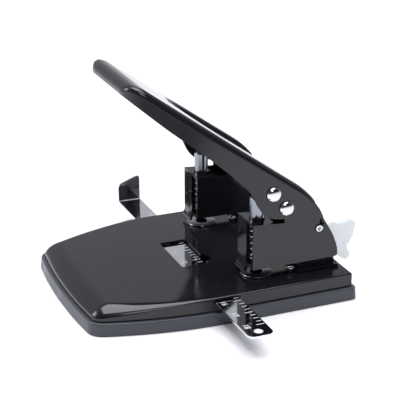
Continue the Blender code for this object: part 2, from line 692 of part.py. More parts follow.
def make_handle():
    """Pressed shell: a rounded tip that splits into two legs, one over each head."""
    shell = cut(handle_sections(0.0, "handle_shell"), opening("gap", 0.0, LEG_BEND))
    inside = cut(handle_sections(SHEET, "inside"), opening("inner_gap", SHEET, LEG_BEND - SHEET))
    cut(shell, inside)
    rim_zone = prism("rim_zone", "Z", arch(SHEET + 1.0), 0.0, 140.0)
    lower = handle_sections(0.0, "lower")
    lower.data.transform(Matrix.Translation(Vector((0, 0, -LEG_RIM * MM))))
    cut(shell, kept(rim_zone, lower))
    reach = HANDLE_HALF + 10
    cut(shell, prism("below", "X", wall_outline(), -reach, reach))
    cut(shell, block("rear_gap", (-WALL_IN, HANDLE_SHEET_REAR, 0), (WALL_IN, HANDLE_REAR + 10, 60)))
    for y, z in DOMES:
        cut(shell, rod("rivet_hole", "X", (y, z), DOME_SHANK + GAP, -reach, reach, 20))
    return finish_as(shell, "enamel", smooth=35, pivot=(0.0, PIVOT_Y, PIVOT_Z))


def lever_outline():
    """Side view of a lever plate: a nose over the punch pin and a boss round the pivot."""
    nose = arc(LEVER_NOSE_Y, LEVER_NOSE_Z, LEVER_NOSE_RADIUS, 80, 270, 10)
    lower = [(ROLLER_Y + 1.5, ROLLER_Z - 2.7), (8.0, 50.6), (12.5, 45.2)]
    boss = arc(PIVOT_Y, PIVOT_Z, LEVER_BOSS, 215, 420, 10)
    upper = [(24.6, 43.6), (19.4, 50.8), (8.0, 61.6)]
    return nose + lower + boss + upper


def make_lever(name, x):
    """Two plates joined by a web, riveted in the handle's leg."""
    lever = prism(name, "X", lever_outline(), x - LEVER_OUT, x + LEVER_OUT)
    inside = [(LEVER_NOSE_Y - 12, LEVER_NOSE_Z + 3.6), (LEVER_NOSE_Y + 2, LEVER_NOSE_Z + 3.6), (8.0, 59.7),
              (18.6, 49.7), (23.6, 42.8), (40.0, 42.8), (40.0, 20.0), (LEVER_NOSE_Y - 12, 20.0)]
    cut(lever, prism("inside", "X", inside, x - LEVER_IN, x + LEVER_IN),
        rod("pivot_hole", "X", (PIVOT_Y, PIVOT_Z), PIVOT_RADIUS + GAP, x - HEAD_HALF, x + HEAD_HALF),
        rod("axle_hole", "X", (ROLLER_Y, ROLLER_Z), ROLLER_AXLE + GAP, x - HEAD_HALF, x + HEAD_HALF, 16))
    side = 1 if x > 0 else -1
    span = sorted((x + side * (LEVER_IN - 1), x + side * (LEVER_OUT + 1)))
    for y, z in DOMES:
        cut(lever, rod("rivet_hole", "X", (y, z), DOME_SHANK + GAP, span[0], span[1], 16))
    return finish_as(lever, "enamel", pivot=(x, PIVOT_Y, PIVOT_Z))


def make_roller(name, x):
    """Cross pin between the lever plates that pushes the punch pin's head."""
    body = LEVER_IN - GAP
    roller = turned(name, "X", (ROLLER_Y, ROLLER_Z), [(ROLLER_AXLE, x - LEVER_OUT), (ROLLER_AXLE, x - body),
                                                      (ROLLER_RADIUS, x - body), (ROLLER_RADIUS, x + body),
                                                      (ROLLER_AXLE, x + body),
                                                      (ROLLER_AXLE, x + LEVER_OUT)], 20)
    return finish_as(roller, "spring", smooth=35, pivot=(x, PIVOT_Y, PIVOT_Z))


def make_dome(name, x, y, z):
    """Domed rivet from outside the handle wall into the lever's nearer plate."""
    side = 1 if x > 0 else -1
    seat = HANDLE_HALF + GAP
    profile = [(DOME_SHANK, abs(x) + LEVER_IN + 0.2), (DOME_SHANK, seat), (DOME_RADIUS, seat)]
    for a in (20, 40, 60, 80):
        profile.append((DOME_RADIUS * math.cos(math.radians(a)),
                        seat + DOME_HEIGHT * math.sin(math.radians(a))))
    rivet = turned(name, "X", (y, z), [(radius, side * place) for radius, place in profile], 24)
    return finish_as(rivet, "chrome", smooth=50, pivot=(0.0, PIVOT_Y, PIVOT_Z))


# ---- latch ----------------------------------------------------------------------------------
def latch_outline():
    """Fishtail plate in y, z, with the finger notch at its rear."""
    return rounded([(LATCH_PIVOT_Y - 3.0, LATCH_PIVOT_Z - 2.6, 2.2), (LATCH_PIVOT_Y + 4.0, 18.0, 2.0),
                    (45.2, 14.6, 1.5),
                    (48.2, 11.7, 3.0), (51.8, 14.0, 3.0), (49.0, 19.2, 1.2), (52.4, 24.4, 3.0),
                    (53.9, 31.8, 2.2),
                    (51.0, 33.9, 2.0), (45.5, 31.8, 5.0), (41.0, 33.6, 2.0), (LATCH_PIVOT_Y - 1.0, 28.6, 2.0),
                    (LATCH_PIVOT_Y - 3.4, 26.6, 2.0)], 4)


def make_latch(x):
    latch = prism("lock_latch", "X", latch_outline(), x - LATCH_HALF, x + LATCH_HALF)
    cut(latch, rod("hole", "X", (LATCH_PIVOT_Y, LATCH_PIVOT_Z), LATCH_PIN_RADIUS + GAP, x - 5, x + 5, 16))
    finish_as(latch, "latch", pivot=(x, LATCH_PIVOT_Y, LATCH_PIVOT_Z))
    pin = rod("latch_pin", "X", (LATCH_PIVOT_Y, LATCH_PIVOT_Z), LATCH_PIN_RADIUS, x - CHEEK_OUT,
              x + CHEEK_OUT, 16)
    finish_as(pin, "spring", smooth=35)


# ---- assembly -------------------------------------------------------------------------------
def make_side(side, x):
    """Everything that belongs to one punched hole."""
    head = make_head(side + "_head_bracket", x)
    head.name = side + "_head_bracket"
    make_foot(side + "_foot_bracket", x)
    make_die(side + "_die", x)
    make_pin(side + "_punch_pin", x)
    make_collar(side + "_spring_collar", x)
    make_spring(side + "_return_spring", x)
    make_stop(side + "_paper_stop", x)
    make_pivot(side + "_pivot_rivet", x)
    make_lever(side + "_lever", x)
    make_roller(side + "_press_roller", x)
    for label, y in zip(("front", "rear"), screw_places()):
        make_screw(side + "_" + label + "_screw", x, y)
    for label, (y, z) in zip(("upper", "lower"), DOMES):
        make_dome(side + "_" + label + "_dome_rivet", x, y, z)


def main():
    clear_scene()
    make_tray()
    make_cover()
    make_rule()
    make_guides()
    make_handle()
    for side, x in SIDES:
        make_side(side, x)
    make_latch(HEAD_X)


main()
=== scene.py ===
"""A two-hole paper punch: finished pieces and materials for a model whose bodies already exist."""
import math

import bmesh
import bpy
from bpy.props import FloatProperty, FloatVectorProperty, IntProperty, PointerProperty
from bpy.types import Operator, Panel, PropertyGroup
from mathutils import Matrix, Vector


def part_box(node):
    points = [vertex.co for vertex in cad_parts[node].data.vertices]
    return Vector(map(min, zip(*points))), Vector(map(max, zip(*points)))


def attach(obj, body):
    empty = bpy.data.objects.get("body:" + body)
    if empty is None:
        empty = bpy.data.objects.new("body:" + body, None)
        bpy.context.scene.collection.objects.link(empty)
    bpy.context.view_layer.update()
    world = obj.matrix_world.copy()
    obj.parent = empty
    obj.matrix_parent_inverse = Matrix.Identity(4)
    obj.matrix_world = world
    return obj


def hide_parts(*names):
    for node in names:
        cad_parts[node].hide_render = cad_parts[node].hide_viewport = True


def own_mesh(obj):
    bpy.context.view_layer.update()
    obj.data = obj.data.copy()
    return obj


bl_info = {
    "name": "Two-hole paper punch",
    "version": (1, 0, 0),
    "blender": (4, 5, 0),
    "location": "View3D > Sidebar > Punch",
    "description": "Models the pieces of a desk paper punch and its studio",
    "category": "Object",
}

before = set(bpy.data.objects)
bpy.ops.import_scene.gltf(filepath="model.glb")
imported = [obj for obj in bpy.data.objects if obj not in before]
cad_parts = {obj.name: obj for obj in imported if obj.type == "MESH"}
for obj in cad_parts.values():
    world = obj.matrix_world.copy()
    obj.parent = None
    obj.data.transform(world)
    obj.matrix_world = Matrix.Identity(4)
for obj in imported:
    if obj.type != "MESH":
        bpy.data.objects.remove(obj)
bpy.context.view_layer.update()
MM = 0.001
SIDES = ("left", "right")
OUTSIDE = {"left": -1, "right": 1}


# ---- places and sizes read from the model, in millimetres -----------------------------------
def span(node):
    """Lowest and highest corner of a piece of the model, in millimetres."""
    low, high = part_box(node)
    return low / MM, high / MM


def middle(node):
    low, high = span(node)
    return (low + high) / 2


TRAY_LOW, TRAY_HIGH = span("chip_tray")
COVER_LOW, COVER_HIGH = span("base_cover")
HANDLE_LOW, HANDLE_HIGH = span("handle_shell")
RULE_LOW, RULE_HIGH = span("paper_rule")
HEAD_X = middle("right_head_bracket").x
SHEET = 1.2
RULE_THICK = 1.0
PIN_RADIUS = 2.8


# ---- settings -------------------------------------------------------------------------------
def length(name, value, description):
    return FloatProperty(name=name, default=value * MM, unit="LENGTH", precision=5, description=description)


def colour(name, hexadecimal, description):
    return FloatVectorProperty(name=name, subtype="COLOR", size=3, min=0, max=1, default=linear(hexadecimal),
                               description=description)


def linear(hexadecimal):
    """Linear red, green and blue of an sRGB hex value."""
    parts = [int(hexadecimal[i:i + 2], 16) / 255 for i in (1, 3, 5)]
    return tuple(p / 12.92 if p <= 0.04045 else ((p + 0.055) / 1.055) ** 2.4 for p in parts)


class PunchSizes(PropertyGroup):
    """Sizes that shape the pressed and moulded pieces."""
    cover_inset: length("Cover inset", 2.3, "Distance from the tray's edge to the cover's skirt")
    cover_bevel: length("Cover bevel", 9.4, "How much wider the cover's bevel is at its front edge")
    tray_wall: length("Tray wall", 4.0, "Thickness of the tray's rim")
    edge: length("Edge rounding", 0.35, "Rounding of cut sheet edges under the enamel")
    handle_bend: length("Handle bend", 4.0, "Outside radius of the handle's long bends")
    leg_rim: length("Leg rim", 4.5, "Depth of the rim turned down between the legs")
    tick: length("Rule tick spacing", 3.175, "Distance between the rule's marks, an eighth of an inch")
    round_steps: IntProperty(name="Round steps", default=48, min=16, max=96,
                             description="Sides of the turned pieces")


class PunchFinish(PropertyGroup):
    """Colours of the finishes."""
    enamel: colour("Enamel", "#17171b", "Stoved gloss enamel on the pressed steel")
    plastic: colour("Tray plastic", "#383a42", "Moulded plastic of the chip tray")
    chrome: colour("Chrome", "#dcdde1", "Chrome plate on rivets and pins")
    nickel: colour("Nickel", "#e2e3e8", "Bright nickel plate on the rule")
    zinc: colour("Zinc", "#b4b7bd", "Zinc plate on small parts")
    pale: colour("Pale latch", "#dfe3e6", "Pale finish of the latch")
    pin: colour("Pin steel", "#8f929b", "Ground steel of the punch pins")
    # Pin colour: the ground steel's own tone, darkened further as painted shade from the handle above the
    # pins.
    wire: colour("Spring wire", "#eeeff3", "Drawn steel spring wire")
    # Wire colour: bright drawn steel, raised to near white as painted highlight for the coils seen in the
    # brackets' shade.
    die: colour("Die steel", "#9a9ca2", "Ground tool steel of the dies")
    marks: colour("Marks", "#d6d7da", "Etched and filled marks on the rule")
    floor: colour("Floor", "#f4f4f5", "Paper sweep under the punch")


class PunchStudio(PropertyGroup):
    """Camera and light."""
    camera: FloatVectorProperty(name="Camera", subtype="TRANSLATION", unit="LENGTH", size=3,
                                default=(0.54111, -0.23853, 0.27347), description="Place of the camera")
    azimuth: FloatProperty(name="Azimuth", subtype="ANGLE", default=math.radians(22.43),
                           description="Turn of the view from the +X axis towards the front")
    elevation: FloatProperty(name="Elevation", subtype="ANGLE", default=math.radians(21.66),
                             description="Height of the view above the horizon")
    roll: FloatProperty(name="Roll", subtype="ANGLE", default=math.radians(-0.17),
                        description="Lean of the camera")
    lens: FloatProperty(name="Lens", default=113.34, min=20, max=300,
                        description="Focal length in millimetres")
    sky: FloatProperty(name="Surround", default=0.55, min=0, description="Strength of the pale surround")
    key: FloatProperty(name="Key light", default=30.0, min=0, description="Power of the large light in watts")


# ---- working in object and edit mode --------------------------------------------------------
def work_on(piece):
    """Leave edit mode and select one piece only."""
    if bpy.context.object and bpy.context.object.mode != "OBJECT":
        bpy.ops.object.mode_set(mode="OBJECT")
    bpy.ops.object.select_all(action="DESELECT")
    piece.select_set(True)
    bpy.context.view_layer.objects.active = piece


def nothing_selected():
    if bpy.context.object and bpy.context.object.mode != "OBJECT":
        bpy.ops.object.mode_set(mode="OBJECT")
    bpy.ops.object.select_all(action="DESELECT")


def named(name):
    """Name the piece that an operator has just added."""
    piece = bpy.context.object
    piece.name = name
    piece.data.name = name
    return piece


def edit(piece):
    work_on(piece)
    bpy.ops.object.mode_set(mode="EDIT")


def pick(piece, kind, test):
    """In edit mode, select the verts, edges or faces that pass a test and nothing else."""
    bpy.ops.mesh.select_mode(type={"verts": "VERT", "edges": "EDGE", "faces": "FACE"}[kind])
    bpy.ops.mesh.select_all(action="DESELECT")
    mesh = bmesh.from_edit_mesh(piece.data)
    for element in getattr(mesh, kind):
        if test(element):
            element.select_set(True)
    mesh.select_flush_mode()
    bmesh.update_edit_mesh(piece.data)


def centre_of(element):
    """Middle of an edge or a face, in millimetres."""
    total = Vector()
    for vert in element.verts:
        total += vert.co
    return total / len(element.verts) / MM


def modify(piece, kind, **settings):
    """Add a modifier and apply it."""
    work_on(piece)
    bpy.ops.object.modifier_add(type=kind)
    modifier = piece.modifiers[-1]
    for key, value in settings.items():
        setattr(modifier, key, value)
    bpy.ops.object.modifier_apply(modifier=modifier.name)
    return piece


def cut(piece, *tools):
    """Cut a piece with others, which are used up."""
    for tool in tools:
        modify(piece, "BOOLEAN", operation="DIFFERENCE", solver="EXACT", object=tool)
        bpy.data.objects.remove(tool, do_unlink=True)
    return piece


def round_edges(piece, width, segments=3, angle=32):
    """Round every edge that is sharper than an angle."""
    return modify(piece, "BEVEL", width=width, segments=segments, limit_method="ANGLE",
                  angle_limit=math.radians(angle), harden_normals=False)


def settle(piece, body, maker, replaces=(), smooth=38, flat=True, words=()):
    """Fix a finished piece in place: origin, shading, material, and the body it rides on.

    A flat piece keeps its wide faces flat where rounded edges meet them.
    """
    work_on(piece)
    bpy.ops.object.transform_apply(location=True, rotation=True, scale=True)
    bpy.ops.object.shade_smooth_by_angle(angle=math.radians(smooth))
    if flat:
        modify(piece, "WEIGHTED_NORMAL", keep_sharp=True, weight=80)
    piece.data.materials.clear()
    piece.data.materials.append(material_once(maker, *words))
    if replaces:
        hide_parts(*replaces)
    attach(piece, body)
    return piece


def block(name, low, high):
    """A box between two corners, in millimetres."""
    nothing_selected()
    centre = [(a + b) / 2 * MM for a, b in zip(low, high)]
    bpy.ops.mesh.primitive_cube_add(size=1, location=centre, scale=[(b - a) * MM for a, b in zip(low, high)])
    bpy.ops.object.transform_apply(location=True, rotation=True, scale=True)
    return named(name)


def rod(name, centre, radius, low, high, axis="Z", vertices=32):
    """A plain round bar, used for cutting."""
    nothing_selected()
    turn = {"X": (0, math.pi / 2, 0), "Y": (math.pi / 2, 0, 0), "Z": (0, 0, 0)}[axis]
    half = (low + high) / 2
    place = {"X": (half, *centre), "Y": (centre[0], half, centre[1]), "Z": (*centre, half)}[axis]
    bpy.ops.mesh.primitive_cylinder_add(vertices=vertices, radius=radius * MM, depth=(high - low) * MM,
                                        location=[p * MM for p in place], rotation=turn)
    bpy.ops.object.transform_apply(location=True, rotation=True, scale=True)
    return named(name)


def turned(name, centre, profile, axis="Z", hollow=False):
    """A turned piece: a circle extruded and resized ring by ring along Z, then laid along its axis.

    The profile is a list of (radius, height) in millimetres.
    """
    nothing_selected()
    vertices = bpy.context.scene.punch_sizes.round_steps
    radius, height = profile[0]
    bpy.ops.mesh.primitive_circle_add(vertices=vertices, radius=radius * MM, location=(0, 0, height * MM))
    piece = named(name)
    bpy.ops.object.transform_apply(location=True, rotation=True, scale=True)
    bpy.ops.object.mode_set(mode="EDIT")
    bpy.ops.mesh.select_all(action="SELECT")
    if not hollow:
        bpy.ops.mesh.edge_face_add()
    rings = profile[1:] + (profile[:1] if hollow else [])
    for new_radius, new_height in rings:
        bpy.ops.mesh.extrude_region_move(TRANSFORM_OT_translate={"value": (0, 0, (new_height - height) * MM)})
        grow = new_radius / radius
        bpy.ops.transform.resize(value=(grow, grow, 1), center_override=(0, 0, new_height * MM))
        radius, height = new_radius, new_height
    bpy.ops.mesh.select_all(action="SELECT")
    bpy.ops.mesh.remove_doubles(threshold=0.00001)
    bpy.ops.mesh.normals_make_consistent(inside=False)
    bpy.ops.object.mode_set(mode="OBJECT")
    piece.rotation_euler = {"X": (0, math.pi / 2, 0), "-X": (0, -math.pi / 2, 0), "Z": (0, 0, 0)}[axis]
    piece.location = Vector(centre) * MM
    bpy.ops.object.transform_apply(location=True, rotation=True, scale=True)
    return piece


def drum(radius, low, high, edge=0.3):
    """Profile of a drum with both edges broken."""
    return [(radius - edge, low), (radius, low + edge), (radius, high - edge), (radius - edge, high)]


def dome(radius, low, rise, angles):
    """Profile of a dome above a height."""
    return [(radius * math.cos(math.radians(a)), low + rise * math.sin(math.radians(a))) for a in angles]


def twin(piece, name, shift):
    """A copy with its own mesh, moved by millimetres."""
    work_on(piece)
    bpy.ops.object.duplicate(linked=False)
    other = named(name)
    other.location = Vector(shift) * MM
    bpy.ops.object.transform_apply(location=True, rotation=True, scale=True)
    return other


def copied(node, name):
    """A merged copy of a piece of the model."""
    nothing_selected()
    piece = bpy.data.objects.new(name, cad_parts[node].data.copy())
    bpy.context.scene.collection.objects.link(piece)
    edit(piece)
    bpy.ops.mesh.select_all(action="SELECT")
    bpy.ops.mesh.remove_doubles(threshold=0.000002)
    bpy.ops.object.mode_set(mode="OBJECT")
    return piece


def softened(node, name, width, segments=2):
    """A folded or stamped piece of the model, with its edges rounded."""
    piece = copied(node, name)
    edit(piece)
    bpy.ops.mesh.select_all(action="SELECT")
    bpy.ops.mesh.dissolve_limited(angle_limit=math.radians(1.5))
    bpy.ops.mesh.normals_make_consistent(inside=False)
    bpy.ops.object.mode_set(mode="OBJECT")
    return round_edges(piece, width, segments)


def loops(name, rings):
    """A closed skin through rings of equal length: a filled circle is placed, extruded and placed again."""
    nothing_selected()
    bpy.ops.mesh.primitive_circle_add(vertices=len(rings[0]), radius=1)
    piece = named(name)
    bpy.ops.object.mode_set(mode="EDIT")
    bpy.ops.mesh.select_mode(type="VERT")
    bpy.ops.mesh.select_all(action="SELECT")
    place_selected(piece, rings[0])
    bpy.ops.mesh.edge_face_add()
    for ring in rings[1:]:
        bpy.ops.mesh.extrude_region_move()
        place_selected(piece, ring)
    bpy.ops.mesh.select_all(action="SELECT")
    bpy.ops.mesh.normals_make_consistent(inside=False)
    bpy.ops.object.mode_set(mode="OBJECT")
    return piece


def place_selected(piece, ring):
    """Put the selected loop's points on a ring, in the order in which they were made."""
    mesh = bmesh.from_edit_mesh(piece.data)
    for vert, point in zip([v for v in mesh.verts if v.select], ring):
        vert.co = Vector(point) * MM
    bmesh.update_edit_mesh(piece.data)


# ---- outlines of the base -------------------------------------------------------------------
BASE_HALF = 56.0
SIDE_CURVE, SIDE_CURVE_START = 0.0026, -20.0
FRONT_BOW = 0.0014
BEVEL_LEAST, BEVEL_START = 0.6, -30.0


def rounded(corners, steps):
    """A closed outline whose (x, y, radius) corners are turned into arcs."""
    points = []
    for i, (x, y, radius) in enumerate(corners):
        here = Vector((x, y))
        back = Vector(corners[i - 1][:2]) - here
        ahead = Vector(corners[(i + 1) % len(corners)][:2]) - here
        if radius <= 0:
            points.append((x, y))
            continue
        half = back.angle(ahead) / 2
        reach = min(radius / math.tan(half), 0.49 * min(back.length, ahead.length))
        middle_way = (back.normalized() + ahead.normalized()).normalized()
        centre = here + middle_way * (reach * math.tan(half) / math.sin(half))
        first = here + back.normalized() * reach - centre
        last = here + ahead.normalized() * reach - centre
        turn = math.atan2(first.x * last.y - first.y * last.x, first.dot(last))
        for step in range(steps + 1):
            a = turn * step / steps
            points.append((centre.x + first.x * math.cos(a) - first.y * math.sin(a),
                           centre.y + first.x * math.sin(a) + first.y * math.cos(a)))
    return points


def tray_half(y):
    """Half width of the base, which curves in towards its front."""
    return BASE_HALF - SIDE_CURVE * max(0.0, SIDE_CURVE_START - y) ** 2


def bevel_width(y):
    """Width of the cover's bevel, which grows towards the front."""
    share = max(0.0, BEVEL_START - y) / (BEVEL_START - TRAY_LOW.y)
    return BEVEL_LEAST + bpy.context.scene.punch_sizes.cover_bevel / MM * share ** 1.3


def base_outline(inset, bevel=0.0):
    """Outline of the base moved in by a distance and by a share of the cover's bevel."""
    front = TRAY_LOW.y + inset + bevel * bevel_width(TRAY_LOW.y)
    rear = TRAY_HIGH.y - inset - bevel * BEVEL_LEAST
    bow = FRONT_BOW * (1 - 0.6 * bevel)

    def half(y):
        return tray_half(y) - inset - bevel * bevel_width(y)

    corner_y = front
    for _ in range(20):
        corner_x = half(corner_y)
        corner_y = front + bow * corner_x ** 2
    start, end = corner_y + 10.0, rear - 8.0
    points = [(corner_x * f, front + bow * (corner_x * f) ** 2, 0.0) for f in (0.0, 0.15, 0.3, 0.45, 0.6)]
    points.append((corner_x, corner_y, max(1.5, 9.0 - inset - bevel * 4.7)))
    points += [(half(y), y, 0.0) for y in [start + (end - start) * i / 30 for i in range(31)]]
    points.append((half(rear), rear, max(0.5, 3.0 - inset)))
    mirrored = [(-x, y, r) for x, y, r in reversed(points) if x > 0]
    return rounded(points + mirrored, 12)


# ---- shape of the handle --------------------------------------------------------------------
TIP = -HANDLE_LOW.y
HANDLE_REAR = HANDLE_HIGH.y
HANDLE_HALF = HANDLE_HIGH.x
CROTCH = 29.5
CROTCH_LENGTH = 15.0
LEG_INNER = 26.5
NOSE = 10.3
NOSE_DROP = 8.9
REAR_BEND = 14.5
TOP_AT_PINS = 72.0
SLOPE = 0.715
TIP_CORNER = 7.0
TAPER = 18.9
FIRST_COLUMN = 3.6
RIM_BEND = 2.8


def handle_half(y):
    return HANDLE_HALF - TAPER * min(1.0, max(0.0, -y / TIP)) ** 1.8


def handle_top(y):
    """Height of the handle's top surface above the bench."""
    z = TOP_AT_PINS - SLOPE * y
    nose = min(1.0, max(0.0, (NOSE - TIP - y) / NOSE))
    z -= NOSE_DROP * (1 - math.sqrt(1 - nose * nose))
    fall = min(1.0, max(0.0, (y - HANDLE_REAR + REAR_BEND) / REAR_BEND))
    end = TOP_AT_PINS - SLOPE * HANDLE_REAR - HANDLE_LOW.z
    return z - end * (1 - math.sqrt(1 - fall * fall))


def from_side(x, y):
    """Distance inwards from the handle's edge, whose tip corners are rounded."""
    side, tip = handle_half(y) - x, y + TIP
    if side < TIP_CORNER and tip < TIP_CORNER:
        return TIP_CORNER - math.hypot(TIP_CORNER - side, TIP_CORNER - tip)
    return min(side, tip)


def handle_height(x, y):
    """Height of the pressed surface, with its long side bends."""
    bend = bpy.context.scene.punch_sizes.handle_bend / MM
    side = handle_half(y) - x
    if side < TIP_CORNER and y + TIP < TIP_CORNER:
        side = from_side(x, y)
    near = max(0.0, bend - max(0.0, side))
    drop = bend - math.sqrt(max(0.0, bend * bend - near * near))
    nose = TOP_AT_PINS - SLOPE * y - handle_top(y) if y < 0 else 0.0
    return TOP_AT_PINS - SLOPE * y - math.hypot(nose, drop) if y < 0 else handle_top(y) - drop


def wall_low(y):
    """Height of the handle's lower edge along its side walls."""
    knots = [(-TIP, 107.0), (-45.0, 92.0), (-30.0, 80.2), (-18.0, 69.8), (-9.1, 61.2), (-6.8, 57.4),
             (-4.4, 52.0), (-2.0, 48.4), (1.0, 46.0), (5.0, 44.8), (9.0, 44.3), (20.0, 43.5), (26.0, 42.2),
             (HANDLE_REAR, 40.9)]
    for (y0, z0), (y1, z1) in zip(knots, knots[1:]):
        if y <= y1:
            return z0 + (z1 - z0) * max(0.0, y - y0) / (y1 - y0)
    return knots[-1][1]


def handle_rows(fan, leg):
    """Pairs of inner and outer plan points, from the middle of the tip round to the rear of a leg."""
    rows = []
    centre_y = -CROTCH + CROTCH_LENGTH
    for i in range(fan + 1):
        angle = math.pi / 2 * i / fan
        out = Vector((math.sin(angle), -math.cos(angle)))
        beta = math.atan2(math.sin(angle) * CROTCH_LENGTH, math.cos(angle) * LEG_INNER)
        inner = Vector((LEG_INNER * math.sin(beta), centre_y - CROTCH_LENGTH * math.cos(beta)))
        near, far = 0.0, 100.0
        for _ in range(40):
            reach = (near + far) / 2
            point = Vector((0.0, centre_y)) + out * reach
            if point.y > -TIP and from_side(point.x, point.y) > 0:
                near = reach
            else:
                far = reach
        outer = Vector((0.0, centre_y)) + out * near
        rows.append((inner, outer))
    for i in range(1, leg + 1):
        y = centre_y + (HANDLE_REAR - centre_y) * math.sin(math.pi / 2 * i / leg)
        rows.append((Vector((LEG_INNER, y)), Vector((handle_half(y), y))))
    return rows


# ---- materials ------------------------------------------------------------------------------
def add(tree, kind, inputs=None, **settings):
    """Add a shader node with its settings, values and links."""
    node = tree.nodes.new("ShaderNode" + kind)
    for key, value in settings.items():
        setattr(node, key, value)
    for key, value in (inputs or {}).items():
        if isinstance(value, bpy.types.NodeSocket):
            tree.links.new(value, node.inputs[key])
        else:
            node.inputs[key].default_value = value
    return node


def surface(name, base, **values):
    """A material with one Principled shader; returns the material, its tree and the shader."""
    material = bpy.data.materials.new(name)
    material.use_nodes = True
    tree = material.node_tree
    shader = tree.nodes["Principled BSDF"]
    shader.inputs["Base Color"].default_value = (*base, 1)
    for key, value in values.items():
        shader.inputs[key.replace("_", " ")].default_value = value
    material.diffuse_color = (*base, 1)
    return material, tree, shader


def grain(tree, size, detail=3.0, stretch=(1, 1, 1), centre=(0, 0, 0)):
    """Noise in object space whose lumps are size millimetres across."""
    place = add(tree, "TexCoord").outputs["Object"]
    mapping = add(tree, "Mapping", {"Vector": place, "Location": [-c * MM for c in centre], "Scale": stretch})
    noise = add(tree, "TexNoise", {"Vector": mapping.outputs[0], "Scale": 1 / (size * MM), "Detail": detail})
    return noise.outputs["Fac"]


def graded(tree, value, low, high):
    """Map a 0 to 1 value to a range."""
    return add(tree, "MapRange", {"Value": value, "From Min": 0.3, "From Max": 0.7,
                                  "To Min": low, "To Max": high})


def tinted(tree, value, dark, light):
    """Mix two colours by a 0 to 1 value."""
    node = add(tree, "Mix", {"Factor": value}, data_type="RGBA")
    for socket in node.inputs:
        if socket.type == "RGBA":
            socket.default_value = (*(dark if socket.name == "A" else light), 1)
    return next(s for s in node.outputs if s.type == "RGBA")


def mottle(tree, shader, value, dark, light):
    """Vary the base colour between two colours by a 0 to 1 value."""
    tree.links.new(tinted(tree, value, dark, light), shader.inputs["Base Color"])


def roughen(tree, shader, value, low, high):
    tree.links.new(graded(tree, value, low, high).outputs[0], shader.inputs["Roughness"])


def emboss(tree, shader, value, depth, strength=1.0):
    """Bump of a depth in millimetres."""
    bump = add(tree, "Bump", {"Height": value, "Distance": depth * MM, "Strength": strength})
    tree.links.new(bump.outputs[0], shader.inputs["Normal"])


def finish(name):
    """One of the colours in the panel."""
    return getattr(bpy.context.scene.punch_finish, name)


def shade(base, factor):
    return tuple(min(1.0, c * factor) for c in base)


def stoved_enamel():
    """Stoved gloss enamel on pressed steel: deep black, mirror-like, with a trace of orange peel."""
    base = finish("enamel")
    material, tree, shader = surface("stoved_enamel", base, Roughness=0.12, IOR=1.5)
    wiped = grain(tree, 14, 4.0, (1.0, 0.6, 1.0))
    mottle(tree, shader, wiped, shade(base, 0.8), shade(base, 1.35))
    roughen(tree, shader, wiped, 0.07, 0.15)
    emboss(tree, shader, grain(tree, 1.6, 2.0), 0.004)
    return material


def moulded_plastic():
    """Injection-moulded ABS with a fine spark-eroded grain: dark grey, satin, slightly scuffed."""
    base = finish("plastic")
    material, tree, shader = surface("moulded_abs", base, Roughness=0.4, IOR=1.53)
    cloud = grain(tree, 9, 5.0)
    mottle(tree, shader, cloud, shade(base, 0.85), shade(base, 1.15))
    roughen(tree, shader, cloud, 0.32, 0.46)
    # The real grain is about 0.1 mm; it is drawn at 0.5 mm so that it shows.
    emboss(tree, shader, grain(tree, 0.5, 2.0), 0.02)
    return material


def plated(name, base, low, high, size, stretch=(1, 1, 1), depth=0.0):
    """A metal finish: colour, a range of roughness, and the scale and direction of its marks."""
    material, tree, shader = surface(name, base, Metallic=1.0, Roughness=(low + high) / 2)
    marks = grain(tree, size, 4.0, stretch)
    mottle(tree, shader, marks, shade(base, 0.9), shade(base, 1.04))
    roughen(tree, shader, marks, low, high)
    if depth:
        emboss(tree, shader, marks, depth)
    return material


def chrome_plate():
    """Polished chrome plate: mirror-bright with barely visible polishing haze."""
    return plated("chrome_plate", finish("chrome"), 0.03, 0.1, 2.5)


def nickel_plate():
    """Bright nickel plate on rolled strip: mirror-bright, with faint rolling lines along its length."""
    return plated("nickel_plate", finish("nickel"), 0.04, 0.1, 0.8, (0.05, 1, 1), 0.001)


def zinc_plate():
    """Zinc plate from a barrel: soft grey and slightly mottled."""
    return plated("zinc_plate", finish("zinc"), 0.25, 0.42, 1.5, depth=0.006)


def spring_wire():
    """Drawn spring wire with a fine satin from the drawing die; its near-white colour is bright steel raised
    further as painted highlight for the coils in the brackets' shade.
    """
    return plated("drawn_spring_wire", finish("wire"), 0.28, 0.4, 0.6, depth=0.004)


def ground_pin():
    """Centreless-ground tool steel with a fine haze round the shank; its colour is darker than chrome, partly
    for the steel itself and partly as painted shade from the handle above the pins.
    """
    return plated("ground_pin_steel", finish("pin"), 0.14, 0.24, 0.5, (0.2, 0.2, 1), 0.002)


def pale_latch():
    """Pale plated steel with a milky passivated film: soft, nearly white, lightly blotched."""
    base = finish("pale")
    material, tree, shader = surface("passivated_steel", base, Metallic=0.35, Roughness=0.35)
    film = grain(tree, 4, 5.0)
    mottle(tree, shader, film, shade(base, 0.93), shade(base, 1.05))
    roughen(tree, shader, film, 0.26, 0.42)
    emboss(tree, shader, grain(tree, 0.7, 2.0), 0.004)
    return material


def ground_steel(side):
    """Hardened steel faced on a lathe: fine turning rings round the bore."""
    base = finish("die")
    material, tree, shader = surface(side + "_ground_steel", base, Metallic=1.0, Roughness=0.22)
    place = add(tree, "TexCoord").outputs["Object"]
    centre = middle(side + "_die")
    centred = add(tree, "Mapping", {"Vector": place, "Location": [-centre.x * MM, -centre.y * MM, 0],
                                    "Scale": (1, 1, 0)})
    # Real tool marks are about 0.05 mm apart; they are drawn at 0.35 mm so that they show.
    rings = add(tree, "TexWave", {"Vector": centred.outputs[0], "Scale": 0.314 / (0.35 * MM)},
                wave_type="RINGS", rings_direction="SPHERICAL")
    roughen(tree, shader, rings.outputs["Fac"], 0.14, 0.3)
    emboss(tree, shader, rings.outputs["Fac"], 0.004)
    return material


